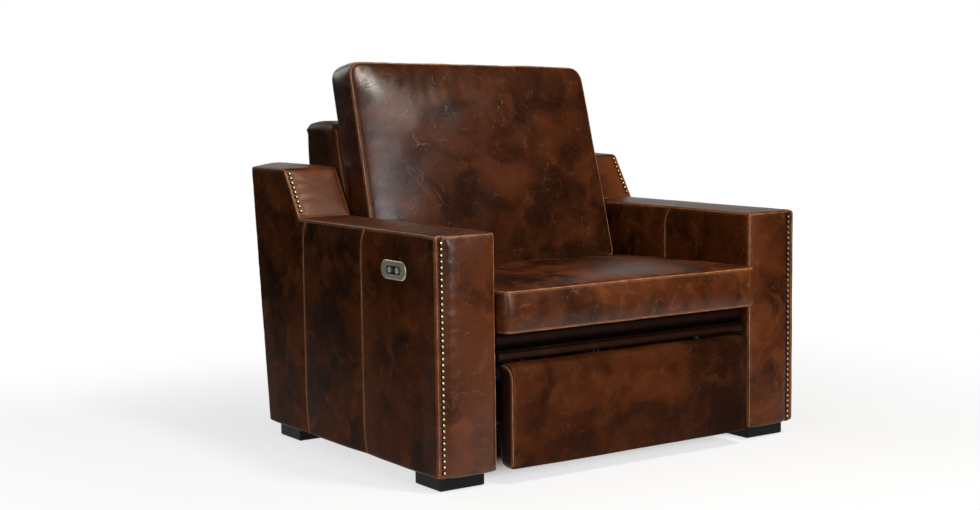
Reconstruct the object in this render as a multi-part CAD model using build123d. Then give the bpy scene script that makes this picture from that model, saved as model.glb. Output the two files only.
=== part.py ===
from build123d import *
import math
import os

# Power recliner chair, upright with its footrest closed. Millimetres, +Z up. The chair faces -Y and
# left and right are as seen from its front, so +X is right. The origin is on the floor, under the
# middle of the chair's box.

# Whole chair
OVERALL_WIDTH = 1090.0
OVERALL_DEPTH = 953.0
FOOT_HEIGHT = 34.0

# Arms and wings
ARM_WIDTH = 153.0
ARM_HEIGHT = 590.0
ARM_SETBACK = 30.5
ARM_CORNER_RADIUS = 14.0
ARM_EDGE_RADIUS = 5.5
WING_HEIGHT = 710.0
WING_TOP_DEPTH = 192.0
WING_FRONT_RAKE = 32.0
REAR_RAKE = 6.2
COVER_THICKNESS = 6.0
ARM_PAD_THICKNESS = 25.0
ARM_FRAME_RAIL = 40.0
ARM_FRAME_PANEL = 15.0

# Feet
FOOT_WIDTH = 122.0
FOOT_DEPTH = 108.0
FOOT_SIDE_INSET = 12.0
FRONT_FOOT_INSET = 20.0
REAR_FOOT_INSET = 38.0
FOOT_CHAMFER = 3.0

# Nailheads
NAIL_RADIUS = 5.5
NAIL_HEIGHT = 3.2
NAIL_SHANK_DIAMETER = 1.8
NAIL_SHANK_LENGTH = 5.0
NAIL_PITCH = 13.8
NAIL_EDGE_INSET = 11.5
NAIL_LOW_MARGIN = 14.0
NAIL_TOP_MARGIN = 17.0
WING_NAIL_MARGIN = 12.0

# Power switch in the left arm
SWITCH_FROM_FRONT = 217.5
SWITCH_BELOW_TOP = 93.0
BEZEL_LENGTH = 113.0
BEZEL_HEIGHT = 45.0
BEZEL_THICKNESS = 3.0
BEZEL_CHAMFER = 1.8
BEZEL_END_RIM = 22.5
BEZEL_SIDE_RIM = 12.0
SWITCH_DEPTH = 30.0
SWITCH_LEDGE = 3.0
BUTTON_DIAMETER = 13.5
BUTTON_SPACING = 34.0
BUTTON_LENGTH = 12.0
BUTTON_PROUD = 4.6
BUTTON_EDGE_RADIUS = 0.9
BUTTON_TRAVEL = 1.5

# Fits and gaps
SOFT_GAP = 0.3
LOOSE_GAP = 1.3
RUNNING_FIT = 0.05
HEAD_GAP = 0.25
SWITCH_FIT = 0.1

# Steel plates and links lie in layers that step inwards from each arm
PLATE = 4.0
LAYER_GAP = 2.0
LINK_WIDTH = 22.0
PIN_DIAMETER = 8.0
PIN_HEAD_DIAMETER = 14.0
PIN_HEAD_THICKNESS = 1.4
BOLT_DIAMETER = 8.0
BOLT_HOLE = 8.4
BOLT_HEAD_FLATS = 13.0
BOLT_HEAD_THICKNESS = 5.0
BOLT_GRIP = 26.0
SHORT_BOLT_GRIP = 20.8

# Swing links that carry the seat forward as the back reclines
SWING_FRONT_FROM_FRONT = 326.5
SWING_SPACING = 220.0
SWING_PIVOT_HEIGHT = 90.0
SWING_LENGTH = 110.0
SWING_LEAN = 20.0
BASE_PLATE_HEIGHT = 84.0
BASE_PLATE_OVERHANG = 44.0
BASE_BOLT_DROP = 22.0
BASE_BOLT_MARGIN = 20.0
TUBE_DIAMETER = 25.0
TUBE_WALL = 2.0
BASE_TUBE_HEIGHT = 66.0
BASE_TUBE_OFFSET = 34.0
REAR_RAIL_THICKNESS = 22.0
REAR_RAIL_HEIGHT = 74.0
REAR_RAIL_INSET = 6.0
REAR_LIP_THICKNESS = 5.0
REAR_LIP_HEIGHT = 36.0
INLET_DIAMETER = 12.0
INLET_BORE = 5.6
INLET_LENGTH = 14.0
INLET_FLOOR = 2.0

# Seat frame, deck and cushion
SEAT_DECK_HEIGHT = 346.0
SEAT_RAIL_HEIGHT = 46.0
SEAT_RAIL_THICKNESS = 26.0
SEAT_FRAME_SETBACK = 46.5
SEAT_FRAME_DEPTH = 546.0
SPRING_WIRE = 3.8
SPRING_COUNT = 4
SPRING_SPACING = 150.0
SPRING_PITCH = 36.0
SPRING_HALF_WIDTH = 26.0
SPRING_BEND_RADIUS = 16.2
DECK_CLOTH = 1.4
SEAT_CUSHION_HEIGHT = 104.0
SEAT_CUSHION_DEPTH = 578.0
SEAT_CUSHION_SIDE_GAP = 5.0
SEAT_CROWN = 32.0
SEAT_REAR_DROP = 18.0
CUSHION_FRONT_BULGE = 7.0
CUSHION_SIDE_DRAW = 9.0
CUSHION_END = 26.0
SIDE_SWELL = 0.35
FLAT_BULGE = 0.5
FRONT_COVER_THICKNESS = 16.0
FRONT_COVER_DROP = 13.0
FRONT_COVER_RADIUS = 5.0

# Footrest panel
FOOTREST_FLOOR_GAP = 36.0
FOOTREST_TOP_GAP = 6.0
FOOTREST_WIDTH = 732.0
FOOTREST_PAD_THICKNESS = 53.5
FOOTREST_BULGE = 9.0
FOOTREST_TOP_BULGE = 2.0
FOOTREST_REAR_GAP = 1.0
FOOTREST_BOARD_THICKNESS = 15.0
FOOTREST_BOARD_MARGIN = 14.0
BRACKET_FLANGE = 34.0

# Footrest linkage: each pivot is (distance behind the chair's front, height), footrest closed
FRONT_LINK_PIVOT = (158.2, 276.1)
FRONT_OUTER_PIVOT = (190.5, 95.7)
FRONT_INNER_PIVOT = (199.1, 48.0)
REAR_LINK_PIVOT = (200.3, 253.8)
REAR_OUTER_PIVOT = (222.0, 70.7)
OUTER_BRACKET_PIVOT = (78.5, 215.4)
INNER_BRACKET_PIVOT = (86.8, 168.4)
REAR_OUTER_PLAY = 2.9
INNER_BRACKET_PLAY = 1.1
PLAY_EYE_WIDTH = 26.0

# Drive: torque tube, crank, screw rail and motor
TORQUE_TUBE_DIAMETER = 22.0
BUSH_WALL = 2.0
HUB_DIAMETER = 30.0
CRANK_LENGTH = 55.0
CRANK_LEAN = 42.0
CRANK_PIN_DIAMETER = 10.0
CRANK_WIDTH = 24.0
CRANK_CHEEK_GAP = 8.0
CRANK_CHEEK = 5.0
FORK_PLAY = 1.3
FORK_OFFSET = 0.9
FORK_THICKNESS = 6.0
FORK_WALL = 8.0
FORK_TRAVEL_HEIGHT = 30.0
NUT_LENGTH = 44.0
NUT_WIDTH = 22.0
NUT_HEIGHT = 20.0
NUT_TO_FORK = 62.0
NUT_STROKE = 76.0
SCREW_DIAMETER = 12.0
SCREW_HEIGHT = 186.0
RAIL_WIDTH = 36.0
RAIL_WALL = 3.0
RAIL_HEIGHT = 30.0
RAIL_REAR_FROM_FRONT = 466.0
GEARBOX_LENGTH = 62.0
GEARBOX_WIDTH = 56.0
GEARBOX_HEIGHT = 66.0
MOTOR_DIAMETER = 56.0
MOTOR_LENGTH = 88.0
SEAT_TUBE_HEIGHT = 270.0
FRONT_SEAT_TUBE_FROM_FRONT = 356.5
REAR_SEAT_TUBE_FROM_FRONT = 426.5
HANGER_WIDTH = 30.0
HANGER_THICKNESS = 4.0
HANGER_EYE_DIAMETER = 38.0

# Reclining back
HINGE_FROM_FRONT = 668.0
HINGE_HEIGHT = 330.0
HINGE_PIN_DIAMETER = 12.0
HINGE_PIN_HEAD_DIAMETER = 19.2
HINGE_EYE_DIAMETER = 36.0
BACK_RAKE = 15.4
BACK_FRONT_FROM_FRONT = 650.5
BACK_SIDE_GAP = 8.0
BACK_TOP = 825.0
BACK_BOX_CLEARANCE = 22.0
BACK_TOP_DEPTH = 168.0
BACK_REAR_RAKE = 7.4
BACK_SKIRT_BOTTOM = 130.0
BACK_SKIRT_THICKNESS = 20.0
BACK_SKIRT_SIDE_INSET = 6.0
BACK_CORNER_RADIUS = 26.0
BACK_POST_WIDTH = 30.0
BACK_POST_DEPTH = 46.0
BACK_RAIL_HEIGHT = 52.0
BACK_BRACKET_LENGTH = 130.0
BACK_BRACKET_WIDTH = 28.0
BACK_BRACKET_BOLT_HEIGHTS = (71.5, 123.5)
BACK_CUSHION_THICKNESS = 106.0
BACK_CUSHION_LENGTH = 543.0
BACK_CUSHION_REAR_RISE = 14.0
BACK_CUSHION_SIDE_GAP = 11.0
BACK_CUSHION_DROP = 7.5
BACK_CROWN = 34.0
BACK_CUSHION_TOP_BULGE = 10.0

# Places worked out from the sizes above
FRONT_Y = -OVERALL_DEPTH / 2
REAR_Y = OVERALL_DEPTH / 2
ARM_OUTER_X = OVERALL_WIDTH / 2
ARM_INNER_X = ARM_OUTER_X - ARM_WIDTH
ARM_FRONT_Y = FRONT_Y + ARM_SETBACK
COVER_INSET = COVER_THICKNESS + SOFT_GAP
SEAT_RAIL_LOW = SEAT_DECK_HEIGHT - SEAT_RAIL_HEIGHT
SEAT_FRAME_FRONT_Y = FRONT_Y + SEAT_FRAME_SETBACK
SEAT_FRAME_REAR_Y = SEAT_FRAME_FRONT_Y + SEAT_FRAME_DEPTH
DECK_CLOTH_LOW = SEAT_DECK_HEIGHT + SPRING_WIRE + 2 * SOFT_GAP
CUSHION_LOW = DECK_CLOTH_LOW + DECK_CLOTH + SOFT_GAP
CUSHION_FRONT_TOP = CUSHION_LOW + SEAT_CUSHION_HEIGHT
FOOTREST_TOP = SEAT_RAIL_LOW - FRONT_COVER_DROP - FOOTREST_TOP_GAP
HINGE = (FRONT_Y + HINGE_FROM_FRONT, HINGE_HEIGHT)
BACK_BOX_LOW = HINGE_HEIGHT + BACK_BOX_CLEARANCE


def layer(index):
    """Low and high x of a steel layer on the right side, counted inwards from the arm."""
    low = ARM_INNER_X - PLATE - index * (PLATE + LAYER_GAP)
    return low, low + PLATE


BASE_LAYER = layer(0)
SWING_LAYER = layer(1)
SEAT_LAYER = layer(2)
LINK_LAYER = layer(3)
OUTER_LAYER = layer(4)
BRACKET_LAYER = layer(5)


def pivot(place):
    """(y, z) of a pivot given as (distance behind the chair's front, height)."""
    return FRONT_Y + place[0], place[1]


A = pivot(FRONT_LINK_PIVOT)
B = pivot(REAR_LINK_PIVOT)
E = pivot(FRONT_OUTER_PIVOT)
H_INNER = pivot(FRONT_INNER_PIVOT)
G = pivot(REAR_OUTER_PIVOT)
F = pivot(OUTER_BRACKET_PIVOT)
J = pivot(INNER_BRACKET_PIVOT)
SWING_RISE = SWING_LENGTH * math.cos(math.radians(SWING_LEAN))
SWING_RUN = SWING_LENGTH * math.sin(math.radians(SWING_LEAN))
SWING_LOW = [(FRONT_Y + SWING_FRONT_FROM_FRONT + i * SWING_SPACING, SWING_PIVOT_HEIGHT) for i in range(2)]
SWING_HIGH = [(y + SWING_RUN, z + SWING_RISE) for y, z in SWING_LOW]


def side_face(points):
    """Face in the YZ plane through (y, z) points."""
    return Plane.YZ * make_face(Polyline(*points, close=True))


def across(face, x_low, x_high):
    """Solid of a YZ face between two x values."""
    return extrude(Pos(x_low, 0, 0) * face, x_high - x_low, dir=(1, 0, 0))


def block(low, high):
    """Box between two corners."""
    size = [b - a for a, b in zip(low, high)]
    middle = [(a + b) / 2 for a, b in zip(low, high)]
    return Pos(*middle) * Box(*size)


def rod(point, x_low, x_high, diameter):
    """Round bar along X at a (y, z) point."""
    return across(Plane.YZ * Pos(*point) * Circle(diameter / 2), x_low, x_high)


def tube(point, x_low, x_high, diameter, wall):
    """Round tube along X at a (y, z) point."""
    return rod(point, x_low, x_high, diameter) - rod(point, x_low, x_high, diameter - 2 * wall)


def bar_face(start, end, width):
    """Round-ended bar outline from one (y, z) point to another."""
    run, rise = end[0] - start[0], end[1] - start[1]
    middle = ((start[0] + end[0]) / 2, (start[1] + end[1]) / 2)
    outline = SlotCenterToCenter(math.hypot(run, rise), width, rotation=math.degrees(math.atan2(rise, run)))
    return Plane.YZ * Pos(*middle) * outline


def disc_face(point, diameter):
    """Round outline at a (y, z) point."""
    return Plane.YZ * Pos(*point) * Circle(diameter / 2)


def flat_link(layer_range, outlines, holes):
    """Flat steel link of one layer: joined outlines, less round holes given as (point, diameter)."""
    outline = outlines[0]
    for extra in outlines[1:]:
        outline = outline + extra
    for point, diameter in holes:
        outline = outline - disc_face(point, diameter)
    return across(outline, *layer_range)


def pin(point, inner_layer, outer_layer, outer_head=True, diameter=PIN_DIAMETER, head=PIN_HEAD_DIAMETER):
    """Headed pin through the layers from the inner one to the outer one."""
    x_low, x_high = inner_layer[0] - HEAD_GAP, outer_layer[1]
    shape = rod(point, x_low - PIN_HEAD_THICKNESS, x_low, head)
    if outer_head:
        x_high += HEAD_GAP
        shape += rod(point, x_high, x_high + PIN_HEAD_THICKNESS, head)
    return shape + rod(point, x_low, x_high, diameter)


def hex_bolt(point, x_face):
    """Hexagon bolt whose head sits on the inner face at x_face and whose shank points to +X."""
    head = Plane.YZ * Pos(*point) * RegularPolygon(BOLT_HEAD_FLATS / 2, 6, major_radius=False)
    shank = rod(point, x_face, x_face + BOLT_GRIP, BOLT_DIAMETER)
    return across(head, x_face - BOLT_HEAD_THICKNESS, x_face) + shank


def flipped(shape):
    """Mirror image on the other side of the chair."""
    return mirror(shape, about=Plane.YZ)


def both_sides(shapes):
    """One group of separate solids: the right side's shapes and their mirror images."""
    solids = []
    for shape in shapes:
        solids += shape.solids()
        solids += flipped(shape).solids()
    return Compound(solids)


def group(shapes):
    """One group of separate solids."""
    return Compound([solid for shape in shapes for solid in shape.solids()])


def bulged_section(x, corners, bulges):
    """Closed outline at one x through four (y, z) corners, each side an arc that swells by its bulge."""
    sides = []
    for index, bulge in enumerate(bulges):
        start = corners[index]
        end = corners[(index + 1) % 4]
        run, rise = end[0] - start[0], end[1] - start[1]
        length = math.hypot(run, rise)
        middle_y = (start[0] + end[0]) / 2 + bulge * rise / length
        middle_z = (start[1] + end[1]) / 2 - bulge * run / length
        sides.append(ThreePointArc(start, (middle_y, middle_z), end))
    return Pos(x, 0, 0) * (Plane.YZ * make_face(sides))


def cushion(half_width, front, rear, low, high_front, high_rear, crown, front_bulge, draw):
    """Soft block with a crowned top and front, whose sides draw in over the last stretch."""
    reach = [share * CUSHION_END for share in (0.0, 0.12, 0.4, 1.0)]
    reach += [half_width * share for share in (0.25, 0.6, 1.0)]
    places = [(depth - half_width, depth) for depth in reach]
    places += [(half_width - depth, depth) for depth in reversed(reach[:-1])]
    sections = []
    for x, depth in places:
        inset = draw * (1 - math.sqrt(1 - max(0.0, 1 - depth / CUSHION_END) ** 2))
        swell = 1 - (1 - SIDE_SWELL) * (1 - depth / half_width) ** 2
        corners = [
            (front + front_bulge + inset, low + inset / 2),
            (rear - inset, low + inset / 2),
            (rear - inset, high_rear - inset),
            (front + front_bulge + inset, high_front - inset),
        ]
        bulges = (FLAT_BULGE, FLAT_BULGE, crown * swell, front_bulge * swell)
        sections.append(bulged_section(x, corners, bulges))
    return loft(sections, ruled=True)


# Arms

def arm_points(low, arm_top):
    """(y, z) corners of an arm and its wing, from the bottom front round to the bottom rear."""
    wing_front_top = REAR_Y - WING_TOP_DEPTH
    wing_front_low = wing_front_top - (WING_HEIGHT - arm_top) * math.tan(math.radians(WING_FRONT_RAKE))
    rear_low = REAR_Y - (WING_HEIGHT - low) * math.tan(math.radians(REAR_RAKE))
    return [
        (ARM_FRONT_Y, low),
        (ARM_FRONT_Y, arm_top),
        (wing_front_low, arm_top),
        (wing_front_top, WING_HEIGHT),
        (REAR_Y, WING_HEIGHT),
        (rear_low, low),
    ]


def arm_face(inset, arm_top):
    """Arm outline moved inwards by an inset, with its bottom left at the foot height."""
    face = make_face(Polyline(*arm_points(FOOT_HEIGHT - inset, arm_top), close=True))
    if inset:
        face = offset(face, -inset, kind=Kind.INTERSECTION)
    return Plane.YZ * face


def arm_cover():
    """Leather cover of the right arm and wing, open at the bottom."""
    outline = make_face(Polyline(*arm_points(FOOT_HEIGHT, ARM_HEIGHT), close=True))
    upper = [v for v in outline.vertices() if v.Y > FOOT_HEIGHT + ARM_CORNER_RADIUS]
    outline = fillet(upper, ARM_CORNER_RADIUS)
    shape = across(Plane.YZ * outline, ARM_INNER_X, ARM_OUTER_X)
    rims = [
        e for e in shape.edges()
        if e.bounding_box().size.X < 0.1 and e.bounding_box().max.Z > FOOT_HEIGHT + 0.1
    ]
    shape = fillet(rims, ARM_EDGE_RADIUS)
    room = make_face(Polyline(*arm_points(FOOT_HEIGHT - 2 * COVER_THICKNESS, ARM_HEIGHT), close=True))
    room = Plane.YZ * offset(room, -COVER_THICKNESS, kind=Kind.INTERSECTION)
    return shape - across(room, ARM_INNER_X + COVER_THICKNESS, ARM_OUTER_X - COVER_THICKNESS)


def arm_frame():
    """Wooden frame of the right arm: rails round the outline and a side panel against the seat."""
    x_low, x_high = ARM_INNER_X + COVER_INSET, ARM_OUTER_X - COVER_INSET
    outer = arm_face(COVER_INSET, ARM_HEIGHT - ARM_PAD_THICKNESS)
    points = arm_points(FOOT_HEIGHT - COVER_INSET, ARM_HEIGHT - ARM_PAD_THICKNESS)
    hollow = offset(
        make_face(Polyline(*points, close=True)), -COVER_INSET - ARM_FRAME_RAIL, kind=Kind.INTERSECTION
    )
    return across(outer, x_low, x_high) - across(Plane.YZ * hollow, x_low + ARM_FRAME_PANEL, x_high)


def arm_pad():
    """Foam pad between the frame's top rail and the cover."""
    face = arm_face(COVER_INSET, ARM_HEIGHT) - arm_face(COVER_INSET, ARM_HEIGHT - ARM_PAD_THICKNESS)
    return across(face, ARM_INNER_X + COVER_INSET, ARM_OUTER_X - COVER_INSET)


def nail():
    """Domed nail with its head on the XY plane and its shank pointing down."""
    ball_radius = (NAIL_RADIUS ** 2 + NAIL_HEIGHT ** 2) / (2 * NAIL_HEIGHT)
    ball = Pos(0, 0, NAIL_HEIGHT - ball_radius) * Sphere(ball_radius)
    dome = ball & block((-ball_radius, -ball_radius, 0), (ball_radius, ball_radius, NAIL_HEIGHT))
    return dome + Pos(0, 0, -NAIL_SHANK_LENGTH / 2) * Cylinder(NAIL_SHANK_DIAMETER / 2, NAIL_SHANK_LENGTH)


def nailheads():
    """Rows of nails down the right arm's front face and the wing's raked front face."""
    x = ARM_OUTER_X - NAIL_EDGE_INSET
    one = nail()
    nails = []
    low, high = FOOT_HEIGHT + NAIL_LOW_MARGIN, ARM_HEIGHT - NAIL_TOP_MARGIN
    for index in range(int((high - low) / NAIL_PITCH) + 1):
        nails.append(Pos(x, ARM_FRONT_Y, high - index * NAIL_PITCH) * Rot(90, 0, 0) * one)
    start, end = arm_points(FOOT_HEIGHT, ARM_HEIGHT)[2:4]
    length = math.hypot(end[0] - start[0], end[1] - start[1])
    for index in range(int((length - 2 * WING_NAIL_MARGIN) / NAIL_PITCH) + 1):
        share = (length - WING_NAIL_MARGIN - index * NAIL_PITCH) / length
        y = start[0] + (end[0] - start[0]) * share
        z = start[1] + (end[1] - start[1]) * share
        nails.append(Pos(x, y, z) * Rot(90 - WING_FRONT_RAKE, 0, 0) * one)
    return group(nails)


def foot(y_low):
    """Right foot block whose front face is at y_low."""
    x_high = ARM_OUTER_X - FOOT_SIDE_INSET
    shape = block((x_high - FOOT_WIDTH, y_low, 0), (x_high, y_low + FOOT_DEPTH, FOOT_HEIGHT))
    return chamfer(shape.edges().group_by(Axis.Z)[0], FOOT_CHAMFER)


# Power switch

SWITCH_CENTRE = (FRONT_Y + SWITCH_FROM_FRONT, ARM_HEIGHT - SWITCH_BELOW_TOP)
SWITCH_FACE_X = -ARM_OUTER_X
SLOT_LENGTH = BEZEL_LENGTH - 2 * BEZEL_END_RIM
SLOT_HEIGHT = BEZEL_HEIGHT - 2 * BEZEL_SIDE_RIM


def oval(length, height):
    """Round-ended outline along Y at the switch."""
    return Plane.YZ * Pos(*SWITCH_CENTRE) * SlotOverall(length, height)


def switch_room():
    """Opening that the switch needs in the left arm's cover."""
    spread = 2 * (SWITCH_LEDGE + SOFT_GAP)
    opening = oval(SLOT_LENGTH + spread, SLOT_HEIGHT + spread)
    return across(opening, SWITCH_FACE_X - BEZEL_THICKNESS, SWITCH_FACE_X + SWITCH_DEPTH)


def switch_bezel():
    """Metal ring on the arm's outer face, round the switch's slot."""
    x_low = SWITCH_FACE_X - BEZEL_THICKNESS
    ring = across(oval(BEZEL_LENGTH, BEZEL_HEIGHT), x_low, SWITCH_FACE_X)
    ring = chamfer(ring.edges().group_by(Axis.X)[0], BEZEL_CHAMFER)
    return ring - across(oval(SLOT_LENGTH, SLOT_HEIGHT), x_low, SWITCH_FACE_X)


def button_point(sign):
    """(y, z) of one of the two buttons."""
    return SWITCH_CENTRE[0] + sign * BUTTON_SPACING / 2, SWITCH_CENTRE[1]


def switch_body():
    """Switch housing behind the bezel, with a blind bore for each button."""
    spread = 2 * SWITCH_LEDGE
    shape = across(
        oval(SLOT_LENGTH + spread, SLOT_HEIGHT + spread), SWITCH_FACE_X, SWITCH_FACE_X + SWITCH_DEPTH
    )
    bore_depth = BUTTON_LENGTH - BUTTON_PROUD + BUTTON_TRAVEL + SWITCH_FIT
    for sign in (-1, 1):
        shape -= rod(
            button_point(sign), SWITCH_FACE_X, SWITCH_FACE_X + bore_depth, BUTTON_DIAMETER + 2 * SWITCH_FIT
        )
    return shape


def switch_button(sign):
    """Round push button standing proud of the switch."""
    x_low = SWITCH_FACE_X - BUTTON_PROUD
    shape = rod(button_point(sign), x_low, x_low + BUTTON_LENGTH, BUTTON_DIAMETER)
    return fillet(shape.edges().group_by(Axis.X)[0], BUTTON_EDGE_RADIUS)


# Base between the arms

def base_plate():
    """Steel plate on the right arm's inner face that carries the swing links."""
    y_low = SWING_LOW[0][0] - BASE_PLATE_OVERHANG
    y_high = SWING_LOW[1][0] + BASE_PLATE_OVERHANG
    z_low = SWING_PIVOT_HEIGHT - BASE_PLATE_HEIGHT / 2
    shape = block((BASE_LAYER[0], y_low, z_low), (BASE_LAYER[1], y_high, z_low + BASE_PLATE_HEIGHT))
    for point in SWING_LOW:
        shape -= rod(point, *BASE_LAYER, PIN_DIAMETER + 2 * RUNNING_FIT)
    for point in base_bolt_points():
        shape -= rod(point, *BASE_LAYER, BOLT_HOLE)
    return shape


def base_bolt_points():
    """(y, z) of the bolts through a base plate."""
    y_low = SWING_LOW[0][0] - BASE_PLATE_OVERHANG + BASE_BOLT_MARGIN
    y_high = SWING_LOW[1][0] + BASE_PLATE_OVERHANG - BASE_BOLT_MARGIN
    z = SWING_PIVOT_HEIGHT - BASE_BOLT_DROP
    return [(y_low, z), ((y_low + y_high) / 2, z), (y_high, z)]


def base_tubes():
    """Two steel tubes that tie the base plates together."""
    x = BASE_LAYER[0]
    front = (SWING_LOW[0][0] + BASE_TUBE_OFFSET, BASE_TUBE_HEIGHT)
    rear = (SWING_LOW[1][0] - BASE_TUBE_OFFSET, BASE_TUBE_HEIGHT)
    return group([tube(point, -x, x, TUBE_DIAMETER, TUBE_WALL) for point in (front, rear)])


REAR_RAIL_REAR_Y = arm_points(FOOT_HEIGHT, ARM_HEIGHT)[5][0] - REAR_RAIL_INSET
INLET_HEIGHT = FOOT_HEIGHT + REAR_RAIL_HEIGHT / 2


def rear_rail():
    """Wooden rail between the arms at the rear: a lip behind the outside back, a hole for the power inlet."""
    y_low = REAR_RAIL_REAR_Y - REAR_RAIL_THICKNESS
    z_high = FOOT_HEIGHT + REAR_RAIL_HEIGHT
    shape = block((-ARM_INNER_X, y_low, FOOT_HEIGHT), (ARM_INNER_X, REAR_RAIL_REAR_Y, z_high))
    lip_low = (-ARM_INNER_X, REAR_RAIL_REAR_Y - REAR_LIP_THICKNESS, z_high)
    shape += block(lip_low, (ARM_INNER_X, REAR_RAIL_REAR_Y, z_high + REAR_LIP_HEIGHT))
    hole = Pos(0, REAR_RAIL_REAR_Y, INLET_HEIGHT) * Rot(90, 0, 0)
    return shape - hole * Cylinder(INLET_DIAMETER / 2 + RUNNING_FIT, 2 * INLET_LENGTH)


def power_inlet():
    """Round low-voltage inlet socket in the rear rail."""
    place = Pos(0, REAR_RAIL_REAR_Y - INLET_LENGTH / 2, INLET_HEIGHT) * Rot(90, 0, 0)
    bore = Pos(0, 0, INLET_FLOOR) * Cylinder(INLET_BORE / 2, INLET_LENGTH)
    return place * (Cylinder(INLET_DIAMETER / 2, INLET_LENGTH) - bore)


# Swing links

def swing_link(index):
    """Right swing link between the base plate and the seat plate."""
    low, high = SWING_LOW[index], SWING_HIGH[index]
    hole = PIN_DIAMETER + 2 * RUNNING_FIT
    return flat_link(SWING_LAYER, [bar_face(low, high, LINK_WIDTH)], [(low, hole), (high, hole)])


# Seat

def seat_plate():
    """Steel plate along the seat frame's right rail, with ears for every pivot that it carries."""
    beam_low, beam_high = A[1] - LINK_WIDTH, SEAT_DECK_HEIGHT - BOLT_HEAD_FLATS
    beam = side_face([
        (A[0] - LINK_WIDTH, beam_low),
        (SEAT_FRAME_REAR_Y, beam_low),
        (SEAT_FRAME_REAR_Y, beam_high),
        (A[0] - LINK_WIDTH, beam_high),
    ])
    middle = (beam_low + beam_high) / 2
    outlines = [beam, bar_face((B[0], middle), B, LINK_WIDTH)]
    outlines += [bar_face((point[0], middle), point, LINK_WIDTH) for point in SWING_HIGH]
    outlines.append(bar_face((SEAT_FRAME_REAR_Y - HINGE_EYE_DIAMETER, middle), HINGE, HINGE_EYE_DIAMETER))
    pin_hole = PIN_DIAMETER + 2 * RUNNING_FIT
    holes = [(B, pin_hole), (SWING_HIGH[0], pin_hole), (SWING_HIGH[1], pin_hole)]
    holes.append((A, TORQUE_TUBE_DIAMETER + 2 * (BUSH_WALL + 2 * RUNNING_FIT)))
    holes.append((HINGE, HINGE_PIN_DIAMETER + 2 * RUNNING_FIT))
    holes += [(point, BOLT_HOLE) for point in seat_bolt_points()]
    return flat_link(SEAT_LAYER, outlines, holes)


def seat_bolt_points():
    """(y, z) of the bolts that hold the seat frame to a seat plate."""
    z = SEAT_DECK_HEIGHT - SEAT_RAIL_HEIGHT / 2
    y_low, y_high = A[0], SEAT_FRAME_REAR_Y - 2 * SEAT_RAIL_THICKNESS
    return [(y_low, z), ((y_low + y_high) / 2, z), (y_high, z)]


def seat_bolt(point):
    """Bolt with its head outside the right seat plate and its shank in the seat frame's rail."""
    x = SEAT_LAYER[1]
    head = Plane.YZ * Pos(*point) * RegularPolygon(BOLT_HEAD_FLATS / 2, 6, major_radius=False)
    shank = rod(point, x - PLATE - SHORT_BOLT_GRIP, x, BOLT_DIAMETER)
    return across(head, x, x + BOLT_HEAD_THICKNESS) + shank


def seat_frame():
    """Wooden frame of four butted rails between the seat plates."""
    x = SEAT_LAYER[0]
    wall = SEAT_RAIL_THICKNESS
    y_low, y_high = SEAT_FRAME_FRONT_Y, SEAT_FRAME_REAR_Y
    front = block((-x, y_low, SEAT_RAIL_LOW), (x, y_low + wall, SEAT_DECK_HEIGHT))
    rear = block((-x, y_high - wall, SEAT_RAIL_LOW), (x, y_high, SEAT_DECK_HEIGHT))
    side = block((x - wall, y_low + wall, SEAT_RAIL_LOW), (x, y_high - wall, SEAT_DECK_HEIGHT))
    return group([front, rear, side, flipped(side)])


def seat_spring(x_middle):
    """Sinuous wire spring from the seat frame's front rail to its rear rail."""
    y_low = SEAT_FRAME_FRONT_Y + SEAT_RAIL_THICKNESS / 2
    y_high = SEAT_FRAME_REAR_Y - SEAT_RAIL_THICKNESS / 2
    runs = int((y_high - y_low) / SPRING_PITCH)
    points = []
    for index in range(runs + 1):
        y = y_low + index * (y_high - y_low) / runs
        sign = -1 if index % 2 else 1
        points.append((x_middle - sign * SPRING_HALF_WIDTH, y))
        points.append((x_middle + sign * SPRING_HALF_WIDTH, y))
    outline = trace(FilletPolyline(*points, radius=SPRING_BEND_RADIUS), SPRING_WIRE)
    return extrude(Pos(0, 0, SEAT_DECK_HEIGHT + SOFT_GAP) * outline, SPRING_WIRE)


def seat_springs():
    """Row of sinuous springs across the seat."""
    first = -SPRING_SPACING * (SPRING_COUNT - 1) / 2
    return group([seat_spring(first + index * SPRING_SPACING) for index in range(SPRING_COUNT)])


def seat_deck():
    """Deck cloth over the springs."""
    x = SEAT_LAYER[0]
    z = DECK_CLOTH_LOW
    return block((-x, SEAT_FRAME_FRONT_Y, z), (x, SEAT_FRAME_REAR_Y, z + DECK_CLOTH))


def seat_front_cover():
    """Padded leather strip on the seat frame's front rail, in the recess over the footrest."""
    x = SEAT_LAYER[1]
    y_high = SEAT_FRAME_FRONT_Y
    low = (-x, y_high - FRONT_COVER_THICKNESS, SEAT_RAIL_LOW - FRONT_COVER_DROP)
    shape = block(low, (x, y_high, SEAT_DECK_HEIGHT))
    return fillet(shape.edges().filter_by(Axis.X).group_by(Axis.Y)[0], FRONT_COVER_RADIUS)


def seat_cushion():
    """Seat cushion with a crowned top, a boxed front and drawn-in sides."""
    return cushion(
        ARM_INNER_X - SEAT_CUSHION_SIDE_GAP, FRONT_Y, FRONT_Y + SEAT_CUSHION_DEPTH, CUSHION_LOW + FLAT_BULGE,
        CUSHION_FRONT_TOP, CUSHION_FRONT_TOP - SEAT_REAR_DROP, SEAT_CROWN, CUSHION_FRONT_BULGE,
        CUSHION_SIDE_DRAW
    )


# Footrest

PANEL_REAR_Y = FRONT_Y + FOOTREST_PAD_THICKNESS
BOARD_REAR_Y = PANEL_REAR_Y + FOOTREST_BOARD_THICKNESS


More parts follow.
